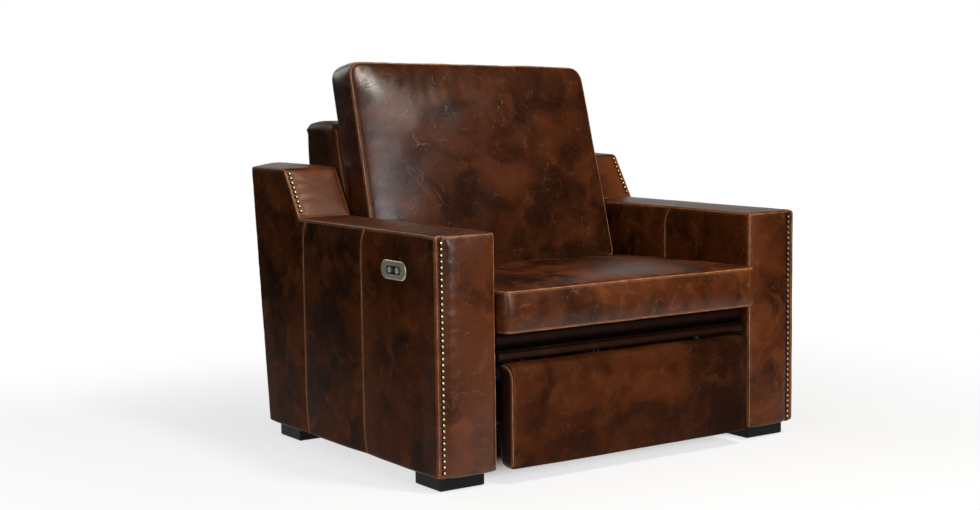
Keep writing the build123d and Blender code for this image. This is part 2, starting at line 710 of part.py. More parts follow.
def footrest_pad():
    """Padded leather panel of the footrest."""
    return cushion(
        FOOTREST_WIDTH / 2, FRONT_Y, PANEL_REAR_Y - FOOTREST_REAR_GAP, FOOTREST_FLOOR_GAP, FOOTREST_TOP,
        FOOTREST_TOP, FOOTREST_TOP_BULGE, FOOTREST_BULGE, CUSHION_SIDE_DRAW / 2
    )


def footrest_board():
    """Plywood board behind the footrest's pad."""
    x = BRACKET_LAYER[0] - LAYER_GAP - PLATE
    margin = FOOTREST_BOARD_MARGIN
    low = (-x, PANEL_REAR_Y + SOFT_GAP, FOOTREST_FLOOR_GAP + margin)
    return block(low, (x, BOARD_REAR_Y, FOOTREST_TOP - margin))


def footrest_bracket():
    """Right steel bracket on the back of the footrest's board."""
    x_low, x_high = BRACKET_LAYER
    hole = PIN_DIAMETER + 2 * RUNNING_FIT
    y_far = max(F[0], J[0])
    web = side_face([
        (BOARD_REAR_Y, J[1] - LINK_WIDTH / 2),
        (y_far, J[1] - LINK_WIDTH / 2),
        (y_far, F[1] + LINK_WIDTH / 2),
        (BOARD_REAR_Y, F[1] + LINK_WIDTH / 2),
    ])
    plate = flat_link(BRACKET_LAYER, [web, bar_face(F, J, LINK_WIDTH)], [(F, hole), (J, hole)])
    z_low, z_high = J[1] - LINK_WIDTH, F[1] + LINK_WIDTH
    front_cut = block((x_low, FRONT_Y, 0), (x_high, BOARD_REAR_Y, FOOTREST_TOP))
    flange = block((x_high - BRACKET_FLANGE, BOARD_REAR_Y, z_low), (x_high, BOARD_REAR_Y + PLATE, z_high))
    flange -= rod(F, x_low - PIN_HEAD_DIAMETER, x_high, PIN_HEAD_DIAMETER + 2 * LAYER_GAP)
    flange -= rod(J, x_low - PIN_HEAD_DIAMETER, x_high, PIN_HEAD_DIAMETER + 2 * LAYER_GAP)
    return (plate - front_cut) + flange


def front_link():
    """Right front link: from the torque tube down past the outer link's pivot to the inner link's."""
    hole = PIN_DIAMETER + 2 * RUNNING_FIT
    outlines = [bar_face(A, H_INNER, LINK_WIDTH), disc_face(A, HUB_DIAMETER)]
    holes = [(A, TORQUE_TUBE_DIAMETER + 2 * RUNNING_FIT), (E, hole), (H_INNER, hole)]
    return flat_link(LINK_LAYER, outlines, holes)


def rear_link():
    """Right rear link, with an eye that leaves play for the outer link's pin."""
    holes = [(B, PIN_DIAMETER + 2 * RUNNING_FIT), (G, PIN_DIAMETER + 2 * REAR_OUTER_PLAY)]
    return flat_link(LINK_LAYER, [bar_face(B, G, LINK_WIDTH), disc_face(G, PLAY_EYE_WIDTH)], holes)


def outer_link():
    """Right outer link: from the rear link past the front link to the footrest bracket."""
    hole = PIN_DIAMETER + 2 * RUNNING_FIT
    outlines = [bar_face(G, E, LINK_WIDTH), bar_face(E, F, LINK_WIDTH)]
    return flat_link(OUTER_LAYER, outlines, [(G, hole), (E, hole), (F, hole)])


def inner_link():
    """Right inner link, with an eye that leaves play for the footrest bracket's pin."""
    holes = [(H_INNER, PIN_DIAMETER + 2 * RUNNING_FIT), (J, PIN_DIAMETER + 2 * INNER_BRACKET_PLAY)]
    return flat_link(OUTER_LAYER, [bar_face(H_INNER, J, LINK_WIDTH)], holes)


# Drive

CRANK_TURN = math.radians(CRANK_LEAN)
CRANK_PIN = (A[0] + CRANK_LENGTH * math.sin(CRANK_TURN), A[1] - CRANK_LENGTH * math.cos(CRANK_TURN))
FORK_Y = CRANK_PIN[0] + FORK_OFFSET
FORK_HEIGHT = A[1] - CRANK_LENGTH * (1 + math.cos(CRANK_TURN)) / 2
NUT_Y = FORK_Y + NUT_TO_FORK
RAIL_REAR_Y = FRONT_Y + RAIL_REAR_FROM_FRONT
RAIL_FRONT_Y = NUT_Y - NUT_STROKE - NUT_LENGTH / 2 - RAIL_WALL
RAIL_LOW = SCREW_HEIGHT - RAIL_HEIGHT / 2
SEAT_TUBES = [
    (FRONT_Y + FRONT_SEAT_TUBE_FROM_FRONT, SEAT_TUBE_HEIGHT),
    (FRONT_Y + REAR_SEAT_TUBE_FROM_FRONT, SEAT_TUBE_HEIGHT),
]


def torque_tube():
    """Steel tube that turns both front links together, through a bush in each seat plate."""
    x = SEAT_LAYER[1] + LAYER_GAP / 2
    return tube(A, -x, x, TORQUE_TUBE_DIAMETER, TUBE_WALL)


def tube_bush():
    """Nylon bush between the torque tube and the right seat plate."""
    inside = TORQUE_TUBE_DIAMETER + 2 * RUNNING_FIT
    return rod(A, *SEAT_LAYER, inside + 2 * BUSH_WALL) - rod(A, *SEAT_LAYER, inside)


def torque_crank():
    """Two cheeks on the torque tube with a pin between them for the drive's fork."""
    solids = []
    for sign in (-1, 1):
        x_near, x_far = sign * CRANK_CHEEK_GAP / 2, sign * (CRANK_CHEEK_GAP / 2 + CRANK_CHEEK)
        cheek_layer = (min(x_near, x_far), max(x_near, x_far))
        outlines = [bar_face(A, CRANK_PIN, CRANK_WIDTH), disc_face(A, HUB_DIAMETER)]
        solids.append(flat_link(cheek_layer, outlines, [(A, TORQUE_TUBE_DIAMETER + 2 * RUNNING_FIT)]))
    crank_pin = rod(CRANK_PIN, -CRANK_CHEEK_GAP / 2, CRANK_CHEEK_GAP / 2, CRANK_PIN_DIAMETER)
    return solids[0] + solids[1] + crank_pin


def drive_nut():
    """Nut on the screw with a slotted fork that pushes the crank's pin."""
    y_low, y_high = NUT_Y - NUT_LENGTH / 2, NUT_Y + NUT_LENGTH / 2
    half = NUT_WIDTH / 2
    z_high = SCREW_HEIGHT + NUT_HEIGHT / 2
    shape = block((-half, y_low, SCREW_HEIGHT - NUT_HEIGHT / 2), (half, y_high, z_high))
    slot_width = CRANK_PIN_DIAMETER + 2 * FORK_PLAY
    fork_low, fork_high = FORK_HEIGHT - FORK_TRAVEL_HEIGHT / 2, FORK_HEIGHT + FORK_TRAVEL_HEIGHT / 2
    x = FORK_THICKNESS / 2
    head_low = (-x, FORK_Y - slot_width / 2 - FORK_WALL, fork_low - FORK_WALL)
    head = block(head_low, (x, FORK_Y + slot_width / 2 + FORK_WALL, fork_high + FORK_WALL))
    slot = block((-x, FORK_Y - slot_width / 2, fork_low), (x, FORK_Y + slot_width / 2, fork_high))
    neck = block((-x, y_low, z_high), (x, y_high, fork_low + FORK_WALL))
    arm = block((-x, FORK_Y + slot_width / 2, fork_low - FORK_WALL), (x, y_high, fork_low + FORK_WALL))
    screw_hole = Pos(0, NUT_Y, SCREW_HEIGHT) * Rot(90, 0, 0)
    shape -= screw_hole * Cylinder(SCREW_DIAMETER / 2 + RUNNING_FIT, NUT_LENGTH)
    return shape + (head - slot) + neck + arm


def drive_rail():
    """Steel channel, open at the top for the nut, that holds the screw under the seat."""
    outer_half, inner_half = RAIL_WIDTH / 2, RAIL_WIDTH / 2 - RAIL_WALL
    top = RAIL_LOW + RAIL_HEIGHT
    outer = block((-outer_half, RAIL_FRONT_Y, RAIL_LOW), (outer_half, RAIL_REAR_Y, top))
    inner_low = (-inner_half, RAIL_FRONT_Y + RAIL_WALL, RAIL_LOW + RAIL_WALL)
    inner = block(inner_low, (inner_half, RAIL_REAR_Y, top))
    screw_hole = Pos(0, RAIL_FRONT_Y, SCREW_HEIGHT) * Rot(90, 0, 0)
    return outer - inner - screw_hole * Cylinder(SCREW_DIAMETER / 2 + RUNNING_FIT, 4 * RAIL_WALL)


def drive_screw():
    """Lead screw along the rail, from the gearbox to the rail's front wall."""
    length = RAIL_REAR_Y - RAIL_FRONT_Y
    place = Pos(0, RAIL_FRONT_Y + length / 2, SCREW_HEIGHT) * Rot(90, 0, 0)
    return place * Cylinder(SCREW_DIAMETER / 2, length)


def drive_gearbox():
    """Gearbox at the rail's rear end."""
    half = GEARBOX_WIDTH / 2
    low = (-half, RAIL_REAR_Y, SCREW_HEIGHT - GEARBOX_HEIGHT / 2)
    shape = block(low, (half, RAIL_REAR_Y + GEARBOX_LENGTH, SCREW_HEIGHT + GEARBOX_HEIGHT / 2))
    return fillet(shape.edges().filter_by(Axis.Y), RAIL_WALL)


def drive_motor():
    """Motor lying across the seat, on the gearbox's right side."""
    point = (RAIL_REAR_Y + GEARBOX_LENGTH / 2, SCREW_HEIGHT)
    x = GEARBOX_WIDTH / 2
    shape = rod(point, x, x + MOTOR_LENGTH, MOTOR_DIAMETER)
    return chamfer(shape.edges().group_by(Axis.X)[-1], RAIL_WALL)


def drive_hangers():
    """Plates that hang the rail and the gearbox from the seat's cross tubes."""
    hangers = []
    x_low = RAIL_WIDTH / 2
    for y, z in SEAT_TUBES:
        outlines = [bar_face((y, z), (y, SCREW_HEIGHT), HANGER_WIDTH), disc_face((y, z), HANGER_EYE_DIAMETER)]
        hole = [((y, z), TUBE_DIAMETER + 2 * RUNNING_FIT)]
        hangers.append(flat_link((x_low, x_low + HANGER_THICKNESS), outlines, hole))
    return both_sides(hangers)


def seat_tubes():
    """Cross tubes between the seat plates."""
    x = SEAT_LAYER[0]
    return group([tube(point, -x, x, TUBE_DIAMETER, TUBE_WALL) for point in SEAT_TUBES])


# Back

BACK_HALF = ARM_INNER_X - BACK_SIDE_GAP
RAKE_SLOPE = math.tan(math.radians(BACK_RAKE))
REAR_SLOPE = math.tan(math.radians(BACK_REAR_RAKE))
BACK_FRONT_AT_BOX_LOW = FRONT_Y + BACK_FRONT_FROM_FRONT


def back_front_y(z):
    """y of the tight back's front face at a height."""
    return BACK_FRONT_AT_BOX_LOW + (z - BACK_BOX_LOW) * RAKE_SLOPE


def back_rear_y(z):
    """y of the tight back's rear face at a height."""
    return back_front_y(BACK_TOP) + BACK_TOP_DEPTH - (BACK_TOP - z) * REAR_SLOPE


def back_cover():
    """Leather shell of the tight back between the wings, open at the bottom."""
    outline = [
        (back_front_y(BACK_BOX_LOW), BACK_BOX_LOW),
        (back_rear_y(BACK_BOX_LOW), BACK_BOX_LOW),
        (back_rear_y(BACK_TOP), BACK_TOP),
        (back_front_y(BACK_TOP), BACK_TOP),
    ]
    shape = across(side_face(outline), -BACK_HALF, BACK_HALF)
    top_sides = [
        e for e in shape.edges()
        if e.bounding_box().size.X < 0.1 and e.bounding_box().min.Z > BACK_TOP - 0.1
    ]
    shape = fillet(top_sides, BACK_CORNER_RADIUS)
    wall = COVER_THICKNESS
    low, high = BACK_BOX_LOW - wall, BACK_TOP - wall
    room = [
        (back_front_y(low) + wall, low),
        (back_rear_y(low) - wall, low),
        (back_rear_y(high) - wall, high),
        (back_front_y(high) + wall, high),
    ]
    hollow = across(side_face(room), -BACK_HALF + wall, BACK_HALF - wall)
    top_sides = [
        e for e in hollow.edges()
        if e.bounding_box().size.X < 0.1 and e.bounding_box().min.Z > high - 0.1
    ]
    return shape - fillet(top_sides, BACK_CORNER_RADIUS - wall)


def back_skirt():
    """Leather-covered board that carries the outside back down towards the floor."""
    x = BACK_HALF - BACK_SKIRT_SIDE_INSET
    thickness = BACK_SKIRT_THICKNESS
    outline = [
        (back_rear_y(BACK_SKIRT_BOTTOM) - thickness, BACK_SKIRT_BOTTOM),
        (back_rear_y(BACK_SKIRT_BOTTOM), BACK_SKIRT_BOTTOM),
        (back_rear_y(BACK_BOX_LOW), BACK_BOX_LOW),
        (back_rear_y(BACK_BOX_LOW) - thickness, BACK_BOX_LOW),
    ]
    return across(side_face(outline), -x, x)


POST_X = LINK_LAYER[0]
POST_FRONT = COVER_INSET


def back_post_y(z, depth):
    """y at a height, measured back from the inside of the tight back's front wall."""
    return back_front_y(z) + POST_FRONT + depth


def back_rail(z_low, z_high, depth):
    """Wooden rail between the back's posts."""
    x = POST_X - BACK_POST_WIDTH
    outline = [
        (back_post_y(z_low, 0), z_low),
        (back_post_y(z_low, depth), z_low),
        (back_post_y(z_high, depth), z_high),
        (back_post_y(z_high, 0), z_high),
    ]
    return across(side_face(outline), -x, x)


def back_frame():
    """Wooden frame of the back: two posts joined by bottom, middle and top rails."""
    z_low = BACK_BOX_LOW
    z_high = BACK_TOP - COVER_THICKNESS - BACK_CORNER_RADIUS
    outline = [
        (back_post_y(z_low, 0), z_low),
        (back_post_y(z_low, BACK_POST_DEPTH), z_low),
        (back_post_y(z_high, BACK_POST_DEPTH), z_high),
        (back_post_y(z_high, 0), z_high),
    ]
    post = across(side_face(outline), POST_X - BACK_POST_WIDTH, POST_X)
    z_middle = (z_low + z_high) / 2
    shape = post + flipped(post) + back_rail(z_low, z_low + BACK_RAIL_HEIGHT, BACK_POST_DEPTH)
    shape += back_rail(z_middle, z_middle + BACK_RAIL_HEIGHT, BACK_POST_DEPTH / 2)
    rear_of_top = back_rear_y(z_high) - COVER_INSET - back_post_y(z_high, 0) - BACK_CORNER_RADIUS
    return shape + back_rail(z_high - BACK_RAIL_HEIGHT, z_high, rear_of_top)


BRACKET_TOP = (
    back_post_y(HINGE_HEIGHT + BACK_BRACKET_LENGTH, BACK_POST_DEPTH / 2),
    HINGE_HEIGHT + BACK_BRACKET_LENGTH,
)
BRACKET_BOLTS = [
    (back_post_y(HINGE_HEIGHT + height, BACK_POST_DEPTH / 2), HINGE_HEIGHT + height)
    for height in BACK_BRACKET_BOLT_HEIGHTS
]


def back_bracket():
    """Steel bracket from the right post down to the recline hinge."""
    outline = [bar_face(HINGE, BRACKET_TOP, BACK_BRACKET_WIDTH)]
    holes = [(HINGE, HINGE_PIN_DIAMETER + 2 * RUNNING_FIT)] + [(point, BOLT_HOLE) for point in BRACKET_BOLTS]
    return flat_link(LINK_LAYER, outline, holes)


def back_bolt(point):
    """Bolt from the outside of the right bracket into the post."""
    x = LINK_LAYER[1]
    head = Plane.YZ * Pos(*point) * RegularPolygon(BOLT_HEAD_FLATS / 2, 6, major_radius=False)
    shank = rod(point, x - PLATE - SHORT_BOLT_GRIP, x, BOLT_DIAMETER)
    return across(head, x, x + LAYER_GAP) + shank


def back_cushion():
    """Loose-look back cushion with a crowned front, leaning against the tight back."""
    upright = cushion(
        ARM_INNER_X - BACK_CUSHION_SIDE_GAP, -BACK_CROWN, BACK_CUSHION_THICKNESS, 0.0,
        BACK_CUSHION_LENGTH, BACK_CUSHION_LENGTH + BACK_CUSHION_REAR_RISE,
        BACK_CUSHION_TOP_BULGE, BACK_CROWN, CUSHION_SIDE_DRAW
    )
    turn = math.radians(BACK_RAKE)
    z_base = CUSHION_FRONT_TOP - BACK_CUSHION_DROP
    gap_to_back = LOOSE_GAP + BACK_CUSHION_THICKNESS
    y_base = back_front_y(z_base) - gap_to_back / math.cos(turn)
    return Pos(0, y_base, z_base) * Rot(-BACK_RAKE, 0, 0) * upright


def hinge_pin():
    """Right recline hinge pin through the seat plate and the back bracket."""
    return pin(HINGE, LINK_LAYER, SEAT_LAYER, diameter=HINGE_PIN_DIAMETER, head=HINGE_PIN_HEAD_DIAMETER)


# All nodes

def chair():
    """Every piece of the chair by its node name."""
    rear_foot_y = arm_points(FOOT_HEIGHT, ARM_HEIGHT)[5][0] - REAR_FOOT_INSET - FOOT_DEPTH
    one_sided = {
        "arm_cover": arm_cover(),
        "arm_frame": arm_frame(),
        "arm_pad": arm_pad(),
        "nailheads": nailheads(),
        "foot_front": foot(ARM_FRONT_Y + FRONT_FOOT_INSET),
        "foot_rear": foot(rear_foot_y),
    }
    nodes = {}
    for name, shape in one_sided.items():
        nodes[name + "_right"] = shape
        nodes[name + "_left"] = flipped(shape)
    nodes["arm_cover_left"] -= switch_room()
    nodes["switch_bezel"] = switch_bezel()
    nodes["switch_body"] = switch_body()
    nodes["switch_button_open"] = switch_button(-1)
    nodes["switch_button_close"] = switch_button(1)
    nodes["base_plates"] = both_sides([base_plate()])
    nodes["base_bolts"] = both_sides([hex_bolt(point, BASE_LAYER[0]) for point in base_bolt_points()])
    nodes["base_tubes"] = base_tubes()
    base_pins = [pin(point, SWING_LAYER, BASE_LAYER, outer_head=False) for point in SWING_LOW]
    nodes["base_pins"] = both_sides(base_pins)
    nodes["rear_rail"] = rear_rail()
    nodes["power_inlet"] = power_inlet()
    nodes["swing_links_front"] = both_sides([swing_link(0)])
    nodes["swing_links_rear"] = both_sides([swing_link(1)])
    nodes["seat_plates"] = both_sides([seat_plate()])
    nodes["seat_frame"] = seat_frame()
    nodes["seat_springs"] = seat_springs()
    nodes["seat_deck"] = seat_deck()
    nodes["seat_front_cover"] = seat_front_cover()
    nodes["seat_cushion"] = seat_cushion()
    nodes["seat_bolts"] = both_sides([seat_bolt(point) for point in seat_bolt_points()])
    seat_pin_list = [pin(point, SEAT_LAYER, SWING_LAYER) for point in SWING_HIGH]
    seat_pin_list += [pin(B, LINK_LAYER, SEAT_LAYER), hinge_pin()]
    nodes["seat_pins"] = both_sides(seat_pin_list)
    nodes["tube_bushes"] = both_sides([tube_bush()])
    nodes["seat_tubes"] = seat_tubes()
    nodes["drive_rail"] = drive_rail()
    nodes["drive_gearbox"] = drive_gearbox()
    nodes["drive_motor"] = drive_motor()
    nodes["drive_hangers"] = drive_hangers()
    nodes["drive_screw"] = drive_screw()
    nodes["drive_nut"] = drive_nut()
    nodes["torque_tube"] = torque_tube()
    nodes["torque_crank"] = torque_crank()
    nodes["front_links"] = both_sides([front_link()])
    nodes["front_link_pins"] = both_sides([pin(point, OUTER_LAYER, LINK_LAYER) for point in (E, H_INNER)])
    nodes["rear_links"] = both_sides([rear_link()])
    nodes["outer_links"] = both_sides([outer_link()])
    outer_pins = [pin(G, OUTER_LAYER, LINK_LAYER), pin(F, BRACKET_LAYER, OUTER_LAYER)]
    nodes["outer_link_pins"] = both_sides(outer_pins)
    nodes["inner_links"] = both_sides([inner_link()])
    nodes["footrest_brackets"] = both_sides([footrest_bracket()])
    nodes["footrest_pins"] = both_sides([pin(J, BRACKET_LAYER, OUTER_LAYER)])
    nodes["footrest_board"] = footrest_board()
    nodes["footrest_pad"] = footrest_pad()
    nodes["back_frame"] = back_frame()
    nodes["back_cover"] = back_cover()
    nodes["back_skirt"] = back_skirt()
    nodes["back_brackets"] = both_sides([back_bracket()])
    nodes["back_bolts"] = both_sides([back_bolt(point) for point in BRACKET_BOLTS])
    nodes["back_cushion"] = back_cushion()
    return nodes


os.makedirs("parts", exist_ok=True)
for node_name, node_shape in chair().items():
    export_step(node_shape, f"parts/{node_name}.step")
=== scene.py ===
"""Looks of a power recliner chair in scuffed waxed leather, around its packed solids."""

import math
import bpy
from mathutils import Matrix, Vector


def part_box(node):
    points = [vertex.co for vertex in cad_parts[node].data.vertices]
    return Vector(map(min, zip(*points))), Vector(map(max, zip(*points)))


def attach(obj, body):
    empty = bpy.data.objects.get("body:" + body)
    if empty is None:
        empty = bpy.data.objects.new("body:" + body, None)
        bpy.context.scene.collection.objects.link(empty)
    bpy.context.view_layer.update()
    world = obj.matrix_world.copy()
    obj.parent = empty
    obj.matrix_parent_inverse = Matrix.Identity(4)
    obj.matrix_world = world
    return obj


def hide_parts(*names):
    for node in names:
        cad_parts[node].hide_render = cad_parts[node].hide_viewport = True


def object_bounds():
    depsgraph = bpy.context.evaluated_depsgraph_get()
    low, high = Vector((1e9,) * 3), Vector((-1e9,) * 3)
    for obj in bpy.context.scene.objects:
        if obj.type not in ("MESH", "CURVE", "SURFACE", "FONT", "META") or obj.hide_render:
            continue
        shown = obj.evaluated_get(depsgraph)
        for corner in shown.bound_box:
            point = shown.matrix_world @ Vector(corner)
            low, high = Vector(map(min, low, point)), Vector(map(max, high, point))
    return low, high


bl_info = {
    "name": "Power Recliner Chair",
    "version": (1, 0, 0),
    "blender": (4, 5, 0),
    "location": "View3D > Sidebar > Recliner",
    "description": "Upholstery, trim, metal and stage of a power recliner chair",
    "category": "Object",
}

import bmesh
import bpy
import numpy as np
from bpy.props import FloatProperty, FloatVectorProperty, IntProperty, PointerProperty
from mathutils import Matrix, Vector, kdtree, noise
from mathutils.bvhtree import BVHTree

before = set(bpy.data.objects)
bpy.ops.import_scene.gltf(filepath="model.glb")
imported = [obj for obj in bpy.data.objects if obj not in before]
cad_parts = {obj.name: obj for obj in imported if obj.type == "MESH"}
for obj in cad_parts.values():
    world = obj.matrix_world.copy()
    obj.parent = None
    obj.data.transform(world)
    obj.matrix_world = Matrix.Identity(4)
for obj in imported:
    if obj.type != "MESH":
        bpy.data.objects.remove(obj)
CAD_LOW, CAD_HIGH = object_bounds()

# Places that the solids give, in metres
ARM_LOW, ARM_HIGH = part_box("arm_cover_right")
SEAT_LOW, SEAT_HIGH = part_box("seat_cushion")
PAD_LOW, PAD_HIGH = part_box("footrest_pad")
RAIL_LOW, RAIL_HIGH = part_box("seat_front_cover")
BACK_LOW, BACK_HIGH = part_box("back_cover")
SKIRT_LOW, SKIRT_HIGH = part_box("back_skirt")
BEZEL_LOW, BEZEL_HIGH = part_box("switch_bezel")
DECK_LOW, DECK_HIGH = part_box("seat_deck")

# Arm and wing outline, as (y, z) places
ARM_TOP = 0.590
WING_BASE_Y = 0.2095
WING_FRONT_Y = 0.2845
ARM_REAR_LOW_Y = 0.403
NAIL_X = 0.5335
NAIL_SINK = 0.0014
NAIL_ROW_FLAT = 0.006
NAIL_ROW_BLEND = 0.0065
NAIL_ROW_REACH = 0.015
ARM_NAIL_AXIS = (0.0, -1.0, 0.0)
WING_NAIL_AXIS = (0.0, -0.848, 0.530)

# Back cushion: its own upright frame leans against the tight back
BACK_RAKE = math.radians(15.4)
BACK_BASE = Vector((0.0, 0.0893, 0.4486))
BACK_HALF = 0.381
BACK_LENGTH = 0.543
BACK_REAR_RISE = 0.014
BACK_THICKNESS = 0.106

# Tight back outline, as (y, z) places
TIGHT_FRONT_LOW_Y = 0.174
TIGHT_FRONT_TOP_Y = 0.3043
TIGHT_REAR_TOP_Y = 0.4723
TIGHT_REAR_LOW_Y = 0.4109
TIGHT_REAR_RAKE = math.radians(7.4)

# Seams: where they run and how far beside them the stitches lie
OUTER_SEAM_YS = (0.190, -0.106)
INNER_SEAM_Y = -0.119
CORNER_WELT_X = 0.5405
TOP_SEAM_DROP = 0.002
TOP_STITCH = 0.0045
BACK_STITCH = 0.004

# Even grids of the small panels, and what counts as the same place
SKIRT_GRID = 0.005
RAIL_GRID = 0.003
NEAR = 0.001

# How far the stuffed leather stands out past the arm's outline
OUTER_GROWTH = 0.0016
FRONT_CORNER_GROWTH = 0.0055
FRONT_GROWTH = 0.0080
FRONT_GROWTH_REACH = 0.022
CORNER_CRISP = 0.0025
REAR_GROWTH = 0.0030
WING_GROWTH = 0.0030

# How far the arm's panels swell between their seams
OUTER_SWELL = 0.0026
INNER_SWELL = 0.0022
REAR_SWELL = 0.003
FRONT_SWELL = 0.0045
TOP_SWELL = 0.008
INNER_PANEL_Z = 0.40
INNER_ROOM = 0.0026
CUSHION_SWELL = 0.002

# Paper sweep under and behind the chair, along the camera's view
SWEEP_NEAR = 1.05
SWEEP_FAR = 9.0
SWEEP_NEAR_HALF = 1.13
SWEEP_FAR_HALF = 4.25
SWEEP_HEIGHT = 6.0
SWEEP_BEND = 2.0


# Settings

def colour_setting(name, description, default):
    """Setting of one colour."""
    return FloatVectorProperty(
        name=name, description=description, subtype="COLOR", size=4, min=0, max=1, default=(*default, 1.0))


def length_setting(name, description, low, high, default):
    """Setting of one length in metres."""
    return FloatProperty(
        name=name, description=description, unit="LENGTH", min=low, max=high, default=default)


def angle_setting(name, description, default):
    """Setting of one angle."""
    return FloatProperty(name=name, description=description, subtype="ANGLE", default=default)


def power_setting(name, which, default):
    """Setting of one lamp's power."""
    return FloatProperty(
        name=name, description=f"Power of the {which} in watts", min=0, max=1000, default=default)


class LeatherSettings(bpy.types.PropertyGroup):
    """Colours and surface of the leather."""

    dark: colour_setting("Dark", "Oiled dark patches of the hide", (0.0165, 0.0042, 0.0011))
    brown: colour_setting("Brown", "Main colour of the hide", (0.084, 0.0200, 0.0042))
    # The rubbed colour also serves as the painted highlight across the wing fronts.
    rubbed: colour_setting("Rubbed", "Reddish rubbed areas", (0.165, 0.0465, 0.0118))
    scuff: colour_setting("Scuff", "Pale scratches and worn edges", (0.330, 0.1250, 0.0400))
    raw_edge: colour_setting("Raw edge", "Cut leather edge that shows in the seams", (0.430, 0.1750, 0.0580))
    grain: length_setting("Grain", "Width of one pebble of the grain", 0.0003, 0.01, 0.0016)


class SewingSettings(bpy.types.PropertyGroup):
    """Seams, welts and stitches."""

    welt: length_setting("Welt", "Radius of the folded edge in a seam", 0.0005, 0.01, 0.0019)
    stitch_length: length_setting("Stitch", "Length of one stitch", 0.001, 0.02, 0.0036)
    stitch_gap: length_setting("Stitch gap", "Gap between two stitches", 0.0005, 0.02, 0.0018)
    thread: length_setting("Thread", "Radius of the sewing thread", 0.0002, 0.002, 0.0005)


class PaddingSettings(bpy.types.PropertyGroup):
    """How the cushions are filled."""

    grid: length_setting("Grid", "Spacing of the even grid that the padding swells on", 0.003, 0.02, 0.0065)
    arm_grid: length_setting("Arm grid", "Spacing of the even grid of the arms", 0.003, 0.02, 0.0046)
    panel_grid: length_setting("Panel grid", "Spacing of the even grid of the panels", 0.003, 0.02, 0.0055)
    pressure: FloatProperty(
        name="Pressure", description="Filling pressure of the cushions", min=0, max=20, default=4.0)
    frames: IntProperty(name="Frames", description="Steps of the swelling", min=2, max=60, default=20)


class StageSettings(bpy.types.PropertyGroup):
    """Camera, lamps and floor."""

    camera_place: FloatVectorProperty(
        name="Camera", description="Place of the camera", subtype="TRANSLATION", unit="LENGTH",
        size=3, default=(-2.516, -3.568, 0.932))
    camera_yaw: angle_setting("Yaw", "Turn of the camera to the right", 0.5954)
    camera_pitch: angle_setting("Pitch", "Tilt of the camera downwards", 0.1043)
    camera_roll: angle_setting("Roll", "Roll of the camera", -0.0126)
    lens: FloatProperty(
        name="Lens", description="Focal length in millimetres", min=10, max=300, default=61.07)
    key: power_setting("Key", "high front lamp", 92.0)
    strip: power_setting("Strip", "broad front lamp", 74.0)
    edge: power_setting("Edge", "slim lamp beside the camera", 8.0)
    side: power_setting("Side", "narrow side lamp", 26.0)
    top: power_setting("Top", "lamp over the chair", 10.0)
    rear: power_setting("Rear", "soft lamp behind the chair", 30.0)
    sky: FloatProperty(
        name="Sky", description="Strength of the soft light from all round", min=0, max=2, default=0.035)


# Mesh helpers

def piece(name, bm):
    """New object at the origin from a bmesh."""
    mesh = bpy.data.meshes.new(name)
    bm.to_mesh(mesh)
    bm.free()
    made = bpy.data.objects.new(name, mesh)
    bpy.context.scene.collection.objects.link(made)
    return made


def points_of(mesh):
    """Vertex places of a mesh, one row each."""
    flat = np.empty(len(mesh.vertices) * 3)
    mesh.vertices.foreach_get("co", flat)
    return flat.reshape(-1, 3)


def normals_of(mesh):
    """Vertex normals of a mesh, one row each."""
    flat = np.empty(len(mesh.vertices) * 3)
    mesh.vertices.foreach_get("normal", flat)
    return flat.reshape(-1, 3)


def move_points(mesh, rows):
    """Set the vertex places of a mesh."""
    mesh.vertices.foreach_set("co", rows.astype(np.float32).ravel())
    mesh.update()


def store(mesh, name, values):
    """Keep one number for each vertex under a name."""
    layer = mesh.attributes.get(name) or mesh.attributes.new(name, "FLOAT", "POINT")
    layer.data.foreach_set("value", np.asarray(values, np.float32))


def note(made, tone, gloss):
    """Keep how light the leather's colour is, with painted light and shade in it, and how waxed it is, at
    each vertex.
    """
    count = len(made.data.vertices)
    store(made.data, "tone", np.broadcast_to(tone, count))
    store(made.data, "gloss", np.broadcast_to(gloss, count))


def bake(made):
    """Replace a piece's mesh by what its modifiers give."""
    depsgraph = bpy.context.evaluated_depsgraph_get()
    mesh = bpy.data.meshes.new_from_object(made.evaluated_get(depsgraph))
    old = made.data
    made.modifiers.clear()
    made.data = mesh
    mesh.name = made.name
    bpy.data.meshes.remove(old)


def even_grid(made, size):
    """Give a closed piece an even grid of faces."""
    grid = made.modifiers.new("even_grid", "REMESH")
    grid.mode = "VOXEL"
    grid.voxel_size = size
    bake(made)


def relax(made, rounds):
    """Smooth a piece a little."""
    bm = bmesh.new()
    bm.from_mesh(made.data)
    for _ in range(rounds):
        bmesh.ops.smooth_vert(
            bm, verts=bm.verts, factor=0.5, use_axis_x=True, use_axis_y=True, use_axis_z=True)
    bm.to_mesh(made.data)
    bm.free()


def refine(made):
    """One round of subdivision, applied."""
    finer = made.modifiers.new("finer", "SUBSURF")
    finer.levels = finer.render_levels = 1
    bake(made)


def shade_smooth(made):
    """Smooth shading on every face."""
    made.data.shade_smooth()


def prism(outline, x_low, x_high):
    """Closed block of a (y, z) outline between two x places."""
    bm = bmesh.new()
    face = bm.faces.new([bm.verts.new((x_low, y, z)) for y, z in outline])
    grown = bmesh.ops.extrude_face_region(bm, geom=[face], use_keep_orig=True)
    moved = [part for part in grown["geom"] if isinstance(part, bmesh.types.BMVert)]
    bmesh.ops.translate(bm, vec=(x_high - x_low, 0, 0), verts=moved)
    bmesh.ops.recalc_face_normals(bm, faces=bm.faces)
    return bm


def box_mesh(low, high):
    """Block between two corners."""
    bm = bmesh.new()
    bmesh.ops.create_cube(bm, size=1.0)
    low, high = Vector(low), Vector(high)
    size = high - low
    bmesh.ops.scale(bm, vec=size, verts=bm.verts)
    bmesh.ops.translate(bm, vec=(low + high) / 2, verts=bm.verts)
    return bm


